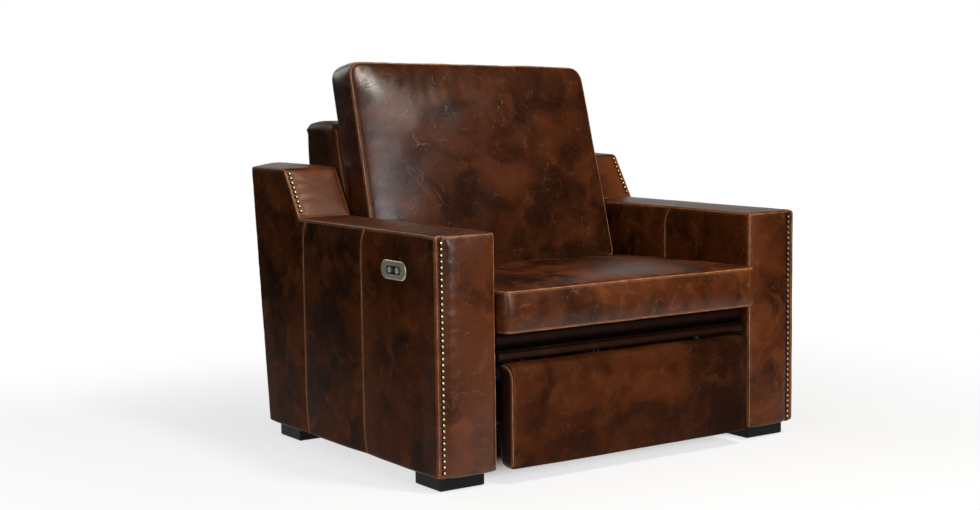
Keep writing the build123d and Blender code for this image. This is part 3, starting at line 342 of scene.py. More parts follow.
def round_edges(bm, chosen, radius, segments):
    """Round the edges that a test picks."""
    edges = [edge for edge in bm.edges if chosen(edge)]
    bmesh.ops.bevel(
        bm, geom=edges, offset=radius, offset_type="OFFSET", segments=segments, profile=0.5,
        affect="EDGES", material=-1)


def runs_along(edge, axis):
    """True if an edge lies along an axis."""
    span = edge.verts[1].co - edge.verts[0].co
    return abs(span[axis]) > 0.99 * span.length


def lengthwise_at(edge, y, z):
    """True if an edge lies along X at a (y, z) place."""
    place = edge.verts[0].co
    return runs_along(edge, 0) and abs(place.y - y) < NEAR and abs(place.z - z) < NEAR


def goes_back(edge):
    """True if an edge runs from the front of the back cushion to its rear."""
    return abs((edge.verts[1].co - edge.verts[0].co).y) > 0.09


def cap_rim(edge, axis):
    """True if an edge lies between an end face across an axis and a face beside it."""
    across = [abs(face.normal[axis]) > 0.9 for face in edge.link_faces]
    return any(across) and not all(across)


def part(share):
    """Share kept from 0 to 1."""
    return np.clip(share, 0, 1)


def smooth(share):
    """Share from 0 to 1 with soft ends."""
    share = part(share)
    return share ** 2 * (3 - 2 * share)


def fading(distance, reach):
    """Share of 1 at no distance that falls off like a bell."""
    return np.exp(-(distance / reach) ** 2)


def wobble(rows, size, seed):
    """Smooth noise from -1 to 1 at each place."""
    shift = Vector((seed * 3.7, seed * 1.9, seed * 5.3))
    return np.array([noise.noise(Vector(row) / size + shift) for row in rows])


# Sewing

SEAM_STEP = 0.004
SEAM_WIDTH = 0.0055
GATHER_START = 0.008
GATHER_REACH = 0.035
RIPPLE_SIZE = 0.09
WEAR_WIDTH = 0.0040
WEAR_REACH = 0.02
WELT_SINK = 0.0006
STITCH_LIFT = 0.0004


class Seam:
    """Sewn line on a piece: its route, how the leather gathers along it, and the trim that shows on it."""

    def __init__(self, route, gather=0.0, pitch=0.02, welt=1.0, stitch=0.0, draw=0.0012, closed=False):
        self.route = evenly([Vector(point) for point in route], SEAM_STEP, closed)
        self.gather = gather
        self.pitch = pitch
        self.welt = welt
        self.stitch = stitch
        self.draw = draw
        self.closed = closed


def evenly(route, step, closed=False):
    """Points at an even spacing along a route."""
    if closed:
        route = route + route[:1]
    made = [route[0].copy()]
    left = step
    for start, end in zip(route, route[1:]):
        length = (end - start).length
        place = left
        while place < length:
            made.append(start.lerp(end, place / length))
            place += step
        left = place - length
    if not closed and (made[-1] - route[-1]).length > step * 0.3:
        made.append(route[-1].copy())
    return made


def rounded(route, rounds=12, closed=False):
    """Route with its corners eased."""
    made = evenly([Vector(point) for point in route], 0.006, closed)
    for _ in range(rounds):
        eased = [point.copy() for point in made]
        for index in range(0 if closed else 1, len(made) if closed else len(made) - 1):
            before, after = made[index - 1], made[(index + 1) % len(made)]
            eased[index] = made[index] * 0.5 + (before + after) * 0.25
        made = eased
    return made


def near_seams(rows, seams):
    """Distance to the nearest seam, and that seam's number and place along it, for each row."""
    count = sum(len(seam.route) for seam in seams)
    tree = kdtree.KDTree(count)
    owner, along = np.empty(count, int), np.empty(count)
    index = 0
    for number, seam in enumerate(seams):
        for step, point in enumerate(seam.route):
            tree.insert(point, index)
            owner[index] = number
            along[index] = step * SEAM_STEP
            index += 1
    tree.balance()
    found = [tree.find(row)[1:] for row in rows]
    nearest = np.array([item[0] for item in found])
    return np.array([item[1] for item in found]), owner[nearest], along[nearest]


def upholster(made, seams, swell, spread=0.045, ripple=0.0006, seed=1.0, wear=1.0):
    """Swell a piece's panels, draw its seams in, gather the leather along them and note where it wears."""
    mesh = made.data
    rows, normals = points_of(mesh), normals_of(mesh)
    distance, owner, along = near_seams(rows, seams)
    gather = np.array([seam.gather for seam in seams])[owner]
    pitch = np.array([seam.pitch for seam in seams])[owner]
    draw = np.array([seam.draw for seam in seams])[owner]
    reach = spread(rows, normals) if callable(spread) else spread
    height = swell(rows, normals) * (1 - fading(distance, reach))
    height -= draw * fading(distance, SEAM_WIDTH)
    puckers = np.array([
        noise.noise(Vector((place / size, number * 7.3 + seed, depth * 9.0)))
        for place, size, number, depth in zip(along, pitch, owner, distance)
    ])
    near = np.exp(-distance / GATHER_REACH) * (1 - fading(distance, GATHER_START))
    height += gather * puckers * near
    height += ripple * wobble(rows, RIPPLE_SIZE, seed)
    move_points(mesh, rows + normals * height[:, None])
    wear = wear * part(1.2 * np.array([seam.welt for seam in seams]) - 0.4)[owner]
    store(mesh, "wear", wear * (fading(distance, WEAR_WIDTH) + 0.16 * np.exp(-distance / WEAR_REACH)))
    return distance


def even_swell(rows, normals):
    """Same small swell all over a cushion."""
    return np.full(len(rows), CUSHION_SWELL)


def surface_of(made):
    """Search tree over a piece's faces."""
    mesh = made.data
    polygons = [tuple(face.vertices) for face in mesh.polygons]
    return BVHTree.FromPolygons([tuple(row) for row in points_of(mesh)], polygons)


def on_surface(tree, point, lift):
    """Place over the surface nearest to a point, and the surface's normal there."""
    place, normal, _, _ = tree.find_nearest(point)
    return place + normal * lift, normal


def tubes(name, lines, radius, sides, body, material):
    """One mesh of round tubes along lines of points, each (points, closed, thickness share)."""
    curve = bpy.data.curves.new(name, "CURVE")
    curve.dimensions = "3D"
    curve.bevel_depth = radius
    curve.bevel_resolution = sides
    curve.use_fill_caps = True
    for line, closed, share in lines:
        spline = curve.splines.new("POLY")
        spline.points.add(len(line) - 1)
        for point, place in zip(spline.points, line):
            point.co = (*place, 1.0)
            point.radius = share
        spline.use_cyclic_u = closed
    drawn = bpy.data.objects.new(name + "_line", curve)
    bpy.context.scene.collection.objects.link(drawn)
    depsgraph = bpy.context.evaluated_depsgraph_get()
    mesh = bpy.data.meshes.new_from_object(drawn.evaluated_get(depsgraph))
    bpy.data.objects.remove(drawn)
    bpy.data.curves.remove(curve)
    made = bpy.data.objects.new(name, mesh)
    mesh.name = name
    bpy.context.scene.collection.objects.link(made)
    shade_smooth(made)
    dress(made, material)
    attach(made, body)
    return made


def sew(name, made, seams, body, context):
    """Welts and stitches of a piece's seams, laid on its finished surface."""
    sewing = context.scene.recliner_sewing
    tree = surface_of(made)
    welts, stitches = [], []
    for seam in seams:
        laid = [on_surface(tree, point, -WELT_SINK) for point in seam.route]
        if seam.welt:
            welts.append(([place for place, _ in laid], seam.closed, seam.welt))
        if seam.stitch:
            stitches += stitch_row(tree, laid, seam.stitch, sewing)
    if welts:
        tubes(name + "_welts", welts, sewing.welt, 2, body, finish("raw_edge"))
    if stitches:
        tubes(name + "_stitches", stitches, sewing.thread, 1, body, finish("thread"))


def stitch_row(tree, laid, offset, sewing):
    """Short thread lines beside a laid seam."""
    beside = []
    for index, (place, normal) in enumerate(laid):
        before, after = laid[max(index - 1, 0)][0], laid[min(index + 1, len(laid) - 1)][0]
        side = (after - before).cross(normal)
        if side.length > 1e-9:
            beside.append(place + side.normalized() * offset)
    if len(beside) < 3:
        return []
    step = sewing.stitch_length + sewing.stitch_gap
    fine = evenly(beside, sewing.stitch_length / 2)
    count = len(fine) - 2
    every = max(3, round(step / (sewing.stitch_length / 2)))
    rows = []
    for index in range(0, count, every):
        lifts = zip(fine[index:index + 3], (0.0, STITCH_LIFT, 0.0))
        rows.append(([on_surface(tree, point, lift)[0] for point, lift in lifts], False, 1.0))
    return rows


# Finishes

# Black that painted shade draws the leather towards.
PAINTED_SHADE_BLACK = (0.0, 0.0, 0.0, 1.0)
CROWN_EDGE = 0.845
CROWN_FULL = 0.935


class Finish:
    """Material under construction, with short calls for the nodes that the finishes share."""

    def __init__(self, name):
        self.material = bpy.data.materials.new(name)
        self.material.use_nodes = True
        self.nodes = self.material.node_tree.nodes
        self.links = self.material.node_tree.links
        self.shader = self.nodes["Principled BSDF"]
        self.coordinates = self.nodes.new("ShaderNodeTexCoord").outputs
        self.place = self.coordinates["Object"]

    def put(self, socket, value):
        """Link another node to a socket, or set the socket's value."""
        if isinstance(value, bpy.types.NodeSocket):
            self.links.new(value, socket)
        else:
            socket.default_value = value

    def set(self, **values):
        """Inputs of the shader, by their names with underscores."""
        for name, value in values.items():
            self.put(self.shader.inputs[name.replace("_", " ")], value)

    def node(self, kind, inputs, output=0, **options):
        """One output of a new node with these inputs and options."""
        made = self.nodes.new("ShaderNode" + kind)
        for name, value in options.items():
            setattr(made, name, value)
        for name, value in inputs.items():
            self.put(made.inputs[name], value)
        return made.outputs[output]

    def moved(self, place, shift=(0, 0, 0), scale=(1, 1, 1)):
        """Place shifted and stretched."""
        return self.node("Mapping", {"Location": shift, "Scale": scale, "Vector": place})

    def noise(self, size, detail=3.0, rough=0.5, twist=0.0, place=None):
        """Cloudy noise with blots of a size."""
        return self.node("TexNoise", {
            "Vector": place or self.place, "Scale": 1 / size, "Detail": detail, "Roughness": rough,
            "Distortion": twist})

    def shaken(self, size, amount, place=None):
        """Place moved about by noise of a size."""
        place = place or self.place
        shake = self.node("TexNoise", {"Vector": place, "Scale": 1 / size, "Detail": 2.0}, 1)
        return self.node("VectorMath", {0: shake, 1: (amount,) * 3, 2: place}, operation="MULTIPLY_ADD")

    def cells(self, size, feature="F1", place=None):
        """Distance in a pattern of cells of a size."""
        return self.node(
            "TexVoronoi", {"Vector": place or self.place, "Scale": 1 / size}, "Distance", feature=feature)

    def step(self, value, low, high, to_low=0.0, to_high=1.0):
        """Soft step from one value to another."""
        return self.node("MapRange", {
            "Value": value, "From Min": low, "From Max": high, "To Min": to_low, "To Max": to_high},
            interpolation_type="SMOOTHSTEP")

    def calc(self, operation, first, second=0.0, third=0.0, clamp=False):
        """Sum, product or other reckoning."""
        return self.node("Math", {0: first, 1: second, 2: third}, operation=operation, use_clamp=clamp)

    def times(self, first, second):
        """Product of two values."""
        return self.calc("MULTIPLY", first, second)

    def times_add(self, first, second, third):
        """Product of two values with a third added."""
        return self.calc("MULTIPLY_ADD", first, second, third)

    def blend(self, share, first, second):
        """Colour between two colours."""
        return self.node("Mix", {0: share, 6: first, 7: second}, 2, data_type="RGBA", clamp_factor=True)

    def noted(self, name):
        """Number that the mesh keeps under a name."""
        return self.node("Attribute", {}, "Fac", attribute_name=name)

    def bump(self, height, distance, strength=1.0, under=None):
        """Normal of a surface with a raised pattern."""
        inputs = {"Strength": strength, "Distance": distance, "Height": height}
        if under:
            inputs["Normal"] = under
        return self.node("Bump", inputs)


def leather(name, scuffs, darkness, rub, spread, rough, shift):
    """Waxed pull-up leather: oiled dark patches, rubbed reddish areas, pale scuffs, creases and grain, and
    painted shade and highlight from a vertex attribute.
    """
    hide = bpy.context.scene.recliner_leather
    made = Finish(name)
    place = made.moved(made.place, shift=(shift, shift * 0.7, -shift))

    def elsewhere(*way):
        return made.moved(place, shift=way)

    tone = made.noted("tone")
    wear = made.noted("wear")
    wax = made.noted("gloss")
    broad = made.noise(0.24, 3.0, 0.50, 0.5, place)
    patch = made.noise(0.105, 4.0, 0.50, 0.7, elsewhere(3.1, 1.7, 0.4))
    mottle = made.noise(0.014, 3.0, 0.55, 0.3, place)
    cloud = made.times_add(patch, 0.70, made.times(broad, 0.45))
    cloud = made.times_add(mottle, 0.16, cloud)
    cloud = made.times_add(tone, 0.22, cloud)
    middle = 0.64 + darkness
    colour = made.blend(made.step(cloud, middle - spread, middle + spread), hide.dark, hide.brown)
    rubs = made.noise(0.080, 5.0, 0.55, 1.0, elsewhere(-2.2, 0.9, 5.0))
    rub_and_highlight_share = made.times(made.step(rubs, 0.52, 0.70), rub)
    # Painted highlight besides real rubbing: a high tone attribute, as across the wing fronts, lifts the
    # colour to the rubbed colour.
    rub_and_highlight_share = made.calc("MAXIMUM", rub_and_highlight_share, made.step(tone, 0.5, 1.1, 0.0, 0.6))
    colour = made.blend(rub_and_highlight_share, colour, hide.rubbed)
    bent = made.shaken(0.05, 0.02, place)
    long_marks = made.step(made.cells(0.080, "DISTANCE_TO_EDGE", bent), 0.0, 0.017, 1.0, 0.0)
    short_cells = made.cells(0.031, "DISTANCE_TO_EDGE", made.moved(bent, shift=(4.0, 1.0, 2.0)))
    short_marks = made.step(short_cells, 0.0, 0.035, 1.0, 0.0)
    where = made.step(made.noise(0.050, 2.0, 0.5, 0.0, elsewhere(7.0, 2.0, 1.0)), 0.50, 0.64)
    short_where = made.step(made.noise(0.030, 2.0, 0.5, 0.0, elsewhere(1.0, 9.0, 4.0)), 0.56, 0.68)
    scratches = made.calc("MAXIMUM", made.times(long_marks, where), made.times(short_marks, short_where))
    breakup = made.noise(0.010, 3.0, 0.6, 0.0, place)
    scratches = made.times(scratches, made.step(breakup, 0.36, 0.58))
    colour = made.blend(made.times(scratches, scuffs), colour, hide.scuff)
    worn = made.times(wear, made.step(made.noise(0.020, 3.0, 0.55, 0.3, place), 0.32, 0.60))
    colour = made.blend(made.times(worn, 0.75), colour, hide.scuff)
    # Painted shade: where the attribute falls low, as in the seat rail's recess, the colour goes towards
    # black and the specular level drops with it.
    lit = made.step(tone, -2.4, -1.0, 0.10, 1.0)
    colour = made.blend(lit, PAINTED_SHADE_BLACK, colour)
    pebble = made.cells(hide.grain, "F1", made.shaken(hide.grain * 2, hide.grain, place))
    pores = made.step(pebble, 0.25, 0.75)
    crease = made.noise(0.016, 4.0, 0.55, 0.6, place)
    normal = made.bump(crease, 0.0016, 0.16)
    normal = made.bump(scratches, 0.0006, 0.4, normal)
    normal = made.bump(pores, 0.00035, 0.15, normal)
    gloss = made.times_add(patch, 0.16, made.times_add(wax, -0.14, rough + 0.14))
    gloss = made.times_add(scratches, 0.18, gloss)
    made.set(Base_Color=colour, Roughness=gloss, Normal=normal, IOR=1.45)
    made.set(Specular_IOR_Level=made.times(lit, made.times_add(wax, 0.38, 0.02)))
    return made.material


def raw_edge(name):
    """Cut and folded leather edge in a seam, paler than the hide."""
    hide = bpy.context.scene.recliner_leather
    made = Finish(name)
    stain = made.noise(0.030, 5.0, 0.65, 0.4)
    fibre = made.noise(0.004, 4.0, 0.7)
    share = made.times_add(fibre, 0.4, made.times(stain, 0.8))
    made.set(
        Base_Color=made.blend(made.step(share, 0.42, 0.78), hide.rubbed, hide.raw_edge),
        Roughness=made.step(stain, 0.3, 0.7, 0.42, 0.66),
        Normal=made.bump(fibre, 0.0006, 0.6))
    return made.material


def thread(name):
    """Waxed sewing thread."""
    made = Finish(name)
    twist = made.noise(0.0022, 3.0, 0.6)
    soil = made.noise(0.020, 3.0, 0.6)
    made.set(
        Base_Color=made.blend(soil, (0.20, 0.085, 0.032, 1.0), (0.36, 0.19, 0.085, 1.0)),
        Roughness=made.step(twist, 0.3, 0.7, 0.5, 0.7),
        Normal=made.bump(twist, 0.0004, 0.6))
    return made.material


def metal(name, light, deep, rough, spot=0.006, dirt=0.4, stretch=(1, 1, 1)):
    """Metal with a clouded surface that turns deeper in patches."""
    made = Finish(name)
    place = made.moved(made.place, scale=stretch)
    cloud = made.noise(spot, 5.0, 0.62, 0.3, place)
    fine = made.noise(spot / 6, 3.0, 0.6, 0.0, place)
    share = made.times(made.step(cloud, 0.38, 0.66), dirt)
    made.set(
        Base_Color=made.blend(share, (*light, 1), (*deep, 1)),
        Roughness=made.times_add(fine, 0.22, rough),
        Normal=made.bump(fine, 0.0003, 0.25),
        Metallic=1.0)
    return made.material


def nailhead(name):
    """Antique brass dome: bright where it is rubbed at the crown, dark towards its rim, partly patina and
    partly painted shade.
    """
    made = Finish(name)
    crowns = []
    for axis in (ARM_NAIL_AXIS, WING_NAIL_AXIS):
        inputs = {0: made.coordinates["Normal"], 1: axis}
        facing = made.node("VectorMath", inputs, "Value", operation="DOT_PRODUCT")
        crowns.append(made.step(facing, CROWN_EDGE, CROWN_FULL))
    on_arm, on_wing = crowns
    behind = made.calc("GREATER_THAN", made.node("SeparateXYZ", {0: made.place}, 1), 0.0)
    crown = made.times_add(behind, made.calc("SUBTRACT", on_wing, on_arm), on_arm)
    stain = made.noise(0.004, 4.0, 0.6, 0.3)
    brass = made.blend(stain, (0.92, 0.77, 0.50, 1), (0.66, 0.51, 0.29, 1))
    made.set(
        # Painted shade: the rim is near black and not metallic.
        Base_Color=made.blend(crown, (0.004, 0.003, 0.002, 1), brass),
        Roughness=made.times_add(crown, -0.10, 0.46),
        Metallic=crown,
        Normal=made.bump(stain, 0.0003, 0.3),
        Specular_IOR_Level=0.12)
    return made.material


def enamel(name, colour, worn, rough, size=0.02, sheen=0.5):
    """Painted, moulded or coated surface with a fine orange-peel texture and a few rubbed spots."""
    made = Finish(name)
    cloud = made.noise(size, 5.0, 0.6, 0.3)
    fine = made.noise(0.0018, 3.0, 0.6)
    made.set(
        Base_Color=made.blend(made.step(cloud, 0.52, 0.80), (*colour, 1), (*worn, 1)),
        Roughness=made.times_add(cloud, 0.20, rough),
        Normal=made.bump(fine, 0.00025, 0.4),
        Specular_IOR_Level=sheen)
    return made.material


def timber(name, stretch, pale=(0.50, 0.34, 0.19), deep=(0.30, 0.18, 0.09)):
    """Sawn wood with its grain drawn out along the axis of the small stretch."""
    made = Finish(name)
    place = made.moved(made.shaken(0.12, 0.02), scale=stretch)
    rings = made.noise(0.014, 5.0, 0.6, 0.5, place)
    fibre = made.noise(0.0025, 3.0, 0.65, 0.0, place)
    share = made.times_add(fibre, 0.35, made.times(rings, 0.75))
    made.set(
        Base_Color=made.blend(made.step(share, 0.35, 0.72), (*pale, 1), (*deep, 1)),
        Roughness=made.step(fibre, 0.3, 0.7, 0.55, 0.78),
        Normal=made.bump(fibre, 0.0006, 0.5))
    return made.material


def woven(name, colour, thread_colour, pitch):
    """Plain woven cloth with its threads along X and Y."""
    made = Finish(name)
    waves = [
        made.node("TexWave", {"Vector": made.place, "Scale": math.tau / pitch / 20, "Distortion": 0.6}, 1,
                  bands_direction=direction)
        for direction in ("X", "Y")]
    weave = made.calc("MAXIMUM", *waves)
    lint = made.noise(0.03, 4.0, 0.6)
    share = made.times(weave, made.step(lint, 0.2, 0.8, 0.4, 1.0))
    made.set(
        Base_Color=made.blend(share, (*colour, 1), (*thread_colour, 1)),
        Roughness=made.step(lint, 0.3, 0.7, 0.75, 0.92),
        Normal=made.bump(weave, 0.0006, 0.6))
    return made.material


# Each finish: the function that makes it and what it is given after its name
FINISHES = {
    "arm_leather": (leather, 0.28, 0.00, 0.42, 0.18, 0.24, 0.0),
    "back_leather": (leather, 0.18, 0.05, 0.14, 0.26, 0.20, 4.0),
    "seat_leather": (leather, 0.58, 0.00, 0.55, 0.13, 0.24, 9.0),
    "footrest_leather": (leather, 0.16, 0.02, 0.16, 0.26, 0.34, 14.0),
    "recess_leather": (leather, 0.05, 0.00, 0.06, 0.14, 0.34, 17.0),
    "raw_edge": (raw_edge,),
    "thread": (thread,),
    "antique_nails": (nailhead,),
    "brushed_nickel": (metal, (0.74, 0.67, 0.52), (0.54, 0.48, 0.36), 0.40, 0.004, 0.5, (1, 0.1, 1)),
    "satin_silver": (metal, (0.90, 0.89, 0.87), (0.74, 0.73, 0.72), 0.42, 0.003, 0.4),
    "zinc_plate": (metal, (0.56, 0.56, 0.54), (0.34, 0.34, 0.35), 0.28, 0.008, 0.7),
    "coated_steel": (enamel, (0.022, 0.022, 0.024), (0.055, 0.053, 0.05), 0.30),
    "spring_wire": (metal, (0.20, 0.20, 0.21), (0.07, 0.06, 0.06), 0.34, 0.01, 0.7),
    "foot_lacquer": (enamel, (0.0035, 0.0033, 0.003), (0.009, 0.008, 0.007), 0.42, 0.03, 0.18),
    "switch_moulding": (enamel, (0.010, 0.010, 0.011), (0.020, 0.020, 0.021), 0.22, 0.006),
    "drive_casing": (enamel, (0.030, 0.030, 0.033), (0.050, 0.050, 0.052), 0.46, 0.015),
    "nylon": (enamel, (0.030, 0.030, 0.031), (0.055, 0.055, 0.055), 0.40, 0.004),
    "frame_timber": (timber, (1, 0.08, 1)),
    "post_timber": (timber, (1, 1, 0.08)),
    "stained_timber": (timber, (0.08, 1, 1), (0.030, 0.013, 0.006), (0.012, 0.005, 0.003)),
    "deck_cloth": (woven, (0.012, 0.012, 0.013), (0.035, 0.035, 0.036), 0.0022),
}


def finish(name):
    """Material of that name, made the first time it is asked for."""
    make, *values = FINISHES[name]
    return bpy.data.materials.get(name) or make(name, *values)


def dress(made, material):
    """Give a piece one material."""
    made.data.materials.clear()
    made.data.materials.append(material)


def dress_node(node, material_name):
    """Give a solid that stays a better finish."""
    material = finish(material_name)
    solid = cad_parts[node]
    for slot in solid.material_slots:
        slot.material = material
    return solid


def crisp(node, width, segments=2):
    """Small rounded edges on a solid that stays."""
    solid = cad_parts[node]
    weld = solid.modifiers.new("joined", "WELD")
    weld.merge_threshold = 0.00002
    bevel = solid.modifiers.new("edges", "BEVEL")
    bevel.width = width
    bevel.segments = segments
    bevel.limit_method = "ANGLE"
    bevel.angle_limit = math.radians(30)
    bevel.harden_normals = False


# Cushions

def rounded_loop(half, low, high, high_radius, low_radius, steps=6):
    """Closed (across, up) loop of a rectangle with rounded corners."""
    loop = []
    corners = ((half, low, -90), (half, high, 0), (-half, high, 90), (-half, low, 180))
    for x, y, start in corners:
        radius = low_radius if y == low else high_radius
        centre_x = x - math.copysign(radius, x)
        centre_y = y + radius if y == low else y - radius
        for step in range(steps + 1):
            angle = math.radians(start + 90 * step / steps)
            loop.append((centre_x + radius * math.cos(angle), centre_y + radius * math.sin(angle)))
    return loop


FILLING = {
    "quality": 5, "mass": 0.3, "tension_stiffness": 15, "compression_stiffness": 15, "shear_stiffness": 8,
    "bending_stiffness": 4, "use_pressure": True, "vertex_group_mass": "held", "pin_stiffness": 2.0,
}


def swell(made, held, cap, stretch, padding):
    """Fill a closed cover: cloth under pressure, held where the seams and the flat sides are."""
    rest = points_of(made.data)
    group = made.vertex_groups.new(name="held")
    group.add([int(index) for index in np.flatnonzero(held)], 1.0, "REPLACE")
    cloth = made.modifiers.new("filling", "CLOTH")
    for name, value in FILLING.items():
        setattr(cloth.settings, name, value)
    cloth.settings.uniform_pressure_force = padding.pressure
    cloth.settings.shrink_min = -stretch
    cloth.settings.effector_weights.gravity = 0
    cloth.collision_settings.use_collision = False
    cloth.collision_settings.use_self_collision = False
    cloth.point_cache.frame_start = 1
    cloth.point_cache.frame_end = padding.frames
    scene = bpy.context.scene
    for number in range(1, padding.frames + 1):
        scene.frame_set(number)
    bake(made)
    made.vertex_groups.clear()
    scene.frame_set(1)
    moved = points_of(made.data) - rest
    length = np.maximum(np.linalg.norm(moved, axis=1), 1e-9)
    eased = cap * np.tanh(length / cap)
    move_points(made.data, rest + moved * (eased / length)[:, None])


def fill_cover(made, seams, beside, fixed, cap, stretch, rounds, padding):
    """Swell a cover between its seams, then smooth and refine it."""
    rows = points_of(made.data)
    distance, _, _ = near_seams(rows, seams)
    swell(made, (distance < beside) | fixed(rows), cap, stretch, padding)
    relax(made, rounds)
    refine(made)


def settle(made, low, high):
    """Keep a piece inside the room that it has."""
    move_points(made.data, np.clip(points_of(made.data), low, high))


def soft_piece(made, name, seams, body, material, nodes, context):
    """Finish a padded piece: its trim, shading, leather and body, and hide the solids it stands for."""
    sew(name, made, seams, body, context)
    shade_smooth(made)
    dress(made, finish(material))
    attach(made, body)
    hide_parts(*nodes)


# Operators

# Each lamp: its place, what it points at, its width and height, and its colour
LAMPS = {
    "key": ((0.45, -2.3, 3.35), (0, 0, 0.45), (0.6, 0.6), (1.0, 0.93, 0.84)),
    "strip": ((-0.3, -3.7, 1.5), (-0.1, 0, 0.6), (0.8, 1.9), (0.93, 0.95, 1.0)),
    "edge": ((-2.8, -2.9, 0.9), (-0.4, 0, 0.5), (0.20, 1.7), (0.92, 0.92, 1.0)),
    "rear": ((-1.2, 3.4, 2.4), (0, 0, 0.5), (2.0, 2.0), (1.0, 0.98, 0.95)),
    "side": ((-3.2, -1.6, 1.5), (0, 0.1, 0.6), (0.5, 2.0), (0.86, 0.95, 1.0)),
    "top": ((-0.5, 0.4, 3.2), (0, 0, 0.5), (1.8, 1.8), (1.0, 0.97, 0.93)),
}


class RECLINER_OT_stage(bpy.types.Operator):
    """Camera at the photograph's angle, soft lamps, pale floor and white surroundings."""

    bl_idname = "recliner.stage"
    bl_label = "Stage"

    def execute(self, context):
        stage = context.scene.recliner_stage
        context.scene.view_settings.view_transform = "Standard"
        self.camera(context, stage)
        for name, setup in LAMPS.items():
            self.lamp(context, name, getattr(stage, name), *setup)
        self.sweep(stage)
        self.surroundings(context, stage)
        return {"FINISHED"}

    def camera(self, context, stage):
        ahead = Vector((
            math.sin(stage.camera_yaw) * math.cos(stage.camera_pitch),
            math.cos(stage.camera_yaw) * math.cos(stage.camera_pitch),
            -math.sin(stage.camera_pitch)))
        level = Vector((math.cos(stage.camera_yaw), -math.sin(stage.camera_yaw), 0))
        upright = level.cross(ahead)
        right = level * math.cos(stage.camera_roll) + upright * math.sin(stage.camera_roll)
        up = upright * math.cos(stage.camera_roll) - level * math.sin(stage.camera_roll)
        data = bpy.data.cameras.new("camera")
        data.lens = stage.lens
        data.sensor_width = 36.0
        camera = bpy.data.objects.new("camera", data)
        turn = Matrix((right, up, -ahead)).transposed().to_4x4()
        camera.matrix_world = Matrix.Translation(stage.camera_place) @ turn
        context.scene.collection.objects.link(camera)
        context.scene.camera = camera

    def lamp(self, context, name, power, place, target, size, colour):
        data = bpy.data.lights.new(name, "AREA")
        data.shape = "RECTANGLE"
        data.size, data.size_y = size
        data.energy = power
        data.color = colour
        lamp = bpy.data.objects.new(name, data)
        lamp.location = place
        lamp.rotation_euler = (Vector(target) - Vector(place)).to_track_quat("-Z", "Y").to_euler()
        context.scene.collection.objects.link(lamp)

    def sweep(self, stage):
        """White paper that lies under the chair and turns up behind it."""
        bm = bmesh.new()
        bmesh.ops.create_grid(bm, x_segments=1, y_segments=1, size=1.0)
        for vert in bm.verts:
            far = vert.co.y > 0
            vert.co.x *= SWEEP_FAR_HALF if far else SWEEP_NEAR_HALF
            vert.co.y = SWEEP_FAR if far else -SWEEP_NEAR
        rear = [edge for edge in bm.edges if all(vert.co.y > 0 for vert in edge.verts)]
        raised = bmesh.ops.extrude_edge_only(bm, edges=rear)
        upper = [part for part in raised["geom"] if isinstance(part, bmesh.types.BMVert)]
        bmesh.ops.translate(bm, vec=(0, 0, SWEEP_HEIGHT), verts=upper)
        round_edges(bm, lambda edge: len(edge.link_faces) == 2, SWEEP_BEND, 16)
        turn = Matrix.Rotation(-stage.camera_yaw, 3, "Z")
        bmesh.ops.rotate(bm, cent=(0, 0, 0), matrix=turn, verts=bm.verts)
        paper = piece("paper_sweep", bm)
        shade_smooth(paper)
        dress(paper, paper_white())

    def surroundings(self, context, stage):
        world = bpy.data.worlds.new("surroundings")
        context.scene.world = world
        world.use_nodes = True
        soft = world.node_tree.nodes["Background"]
        soft.inputs["Color"].default_value = (1.0, 0.98, 0.96, 1)
        soft.inputs["Strength"].default_value = stage.sky


def paper_white():
    """Pale paper that is white to the camera and in reflections, and keeps the chair's shadow."""
    made = Finish("paper_white")
    made.set(Base_Color=(0.50, 0.50, 0.50, 1), Roughness=0.9)
    beside, before = [
        made.calc("SUBTRACT", made.calc("ABSOLUTE", made.node("SeparateXYZ", {0: made.place}, axis)), edge)
        for axis, edge in enumerate(CAD_HIGH.xy)]
    away = made.calc("MAXIMUM", beside, before)
    glow_share = made.times(made.step(away, -0.28, -0.06), made.step(away, 0.0, 1.4, 0.70, 1.0))
    pale = made.node("BsdfDiffuse", {"Color": (0.90, 0.90, 0.90, 1)})
    lit = made.node("MixShader", {0: glow_share, 1: pale, 2: made.node("Emission", {})})
    path = made.nodes.new("ShaderNodeLightPath").outputs
    seen = made.calc("ADD", path["Is Camera Ray"], path["Is Glossy Ray"], clamp=True)
    seen = made.calc("ADD", seen, path["Is Transmission Ray"], clamp=True)
    shown = made.node("MixShader", {0: seen, 1: made.shader.outputs[0], 2: lit})
    made.put(made.nodes["Material Output"].inputs["Surface"], shown)
    return made.material


def arm_outline():
    """(y, z) corners of an arm and its wing, from the bottom front round to the bottom rear."""
    return [
        (ARM_LOW.y, ARM_LOW.z), (ARM_LOW.y, ARM_TOP), (WING_BASE_Y, ARM_TOP),
        (WING_FRONT_Y, ARM_HIGH.z), (ARM_HIGH.y, ARM_HIGH.z), (ARM_REAR_LOW_Y, ARM_LOW.z),
    ]


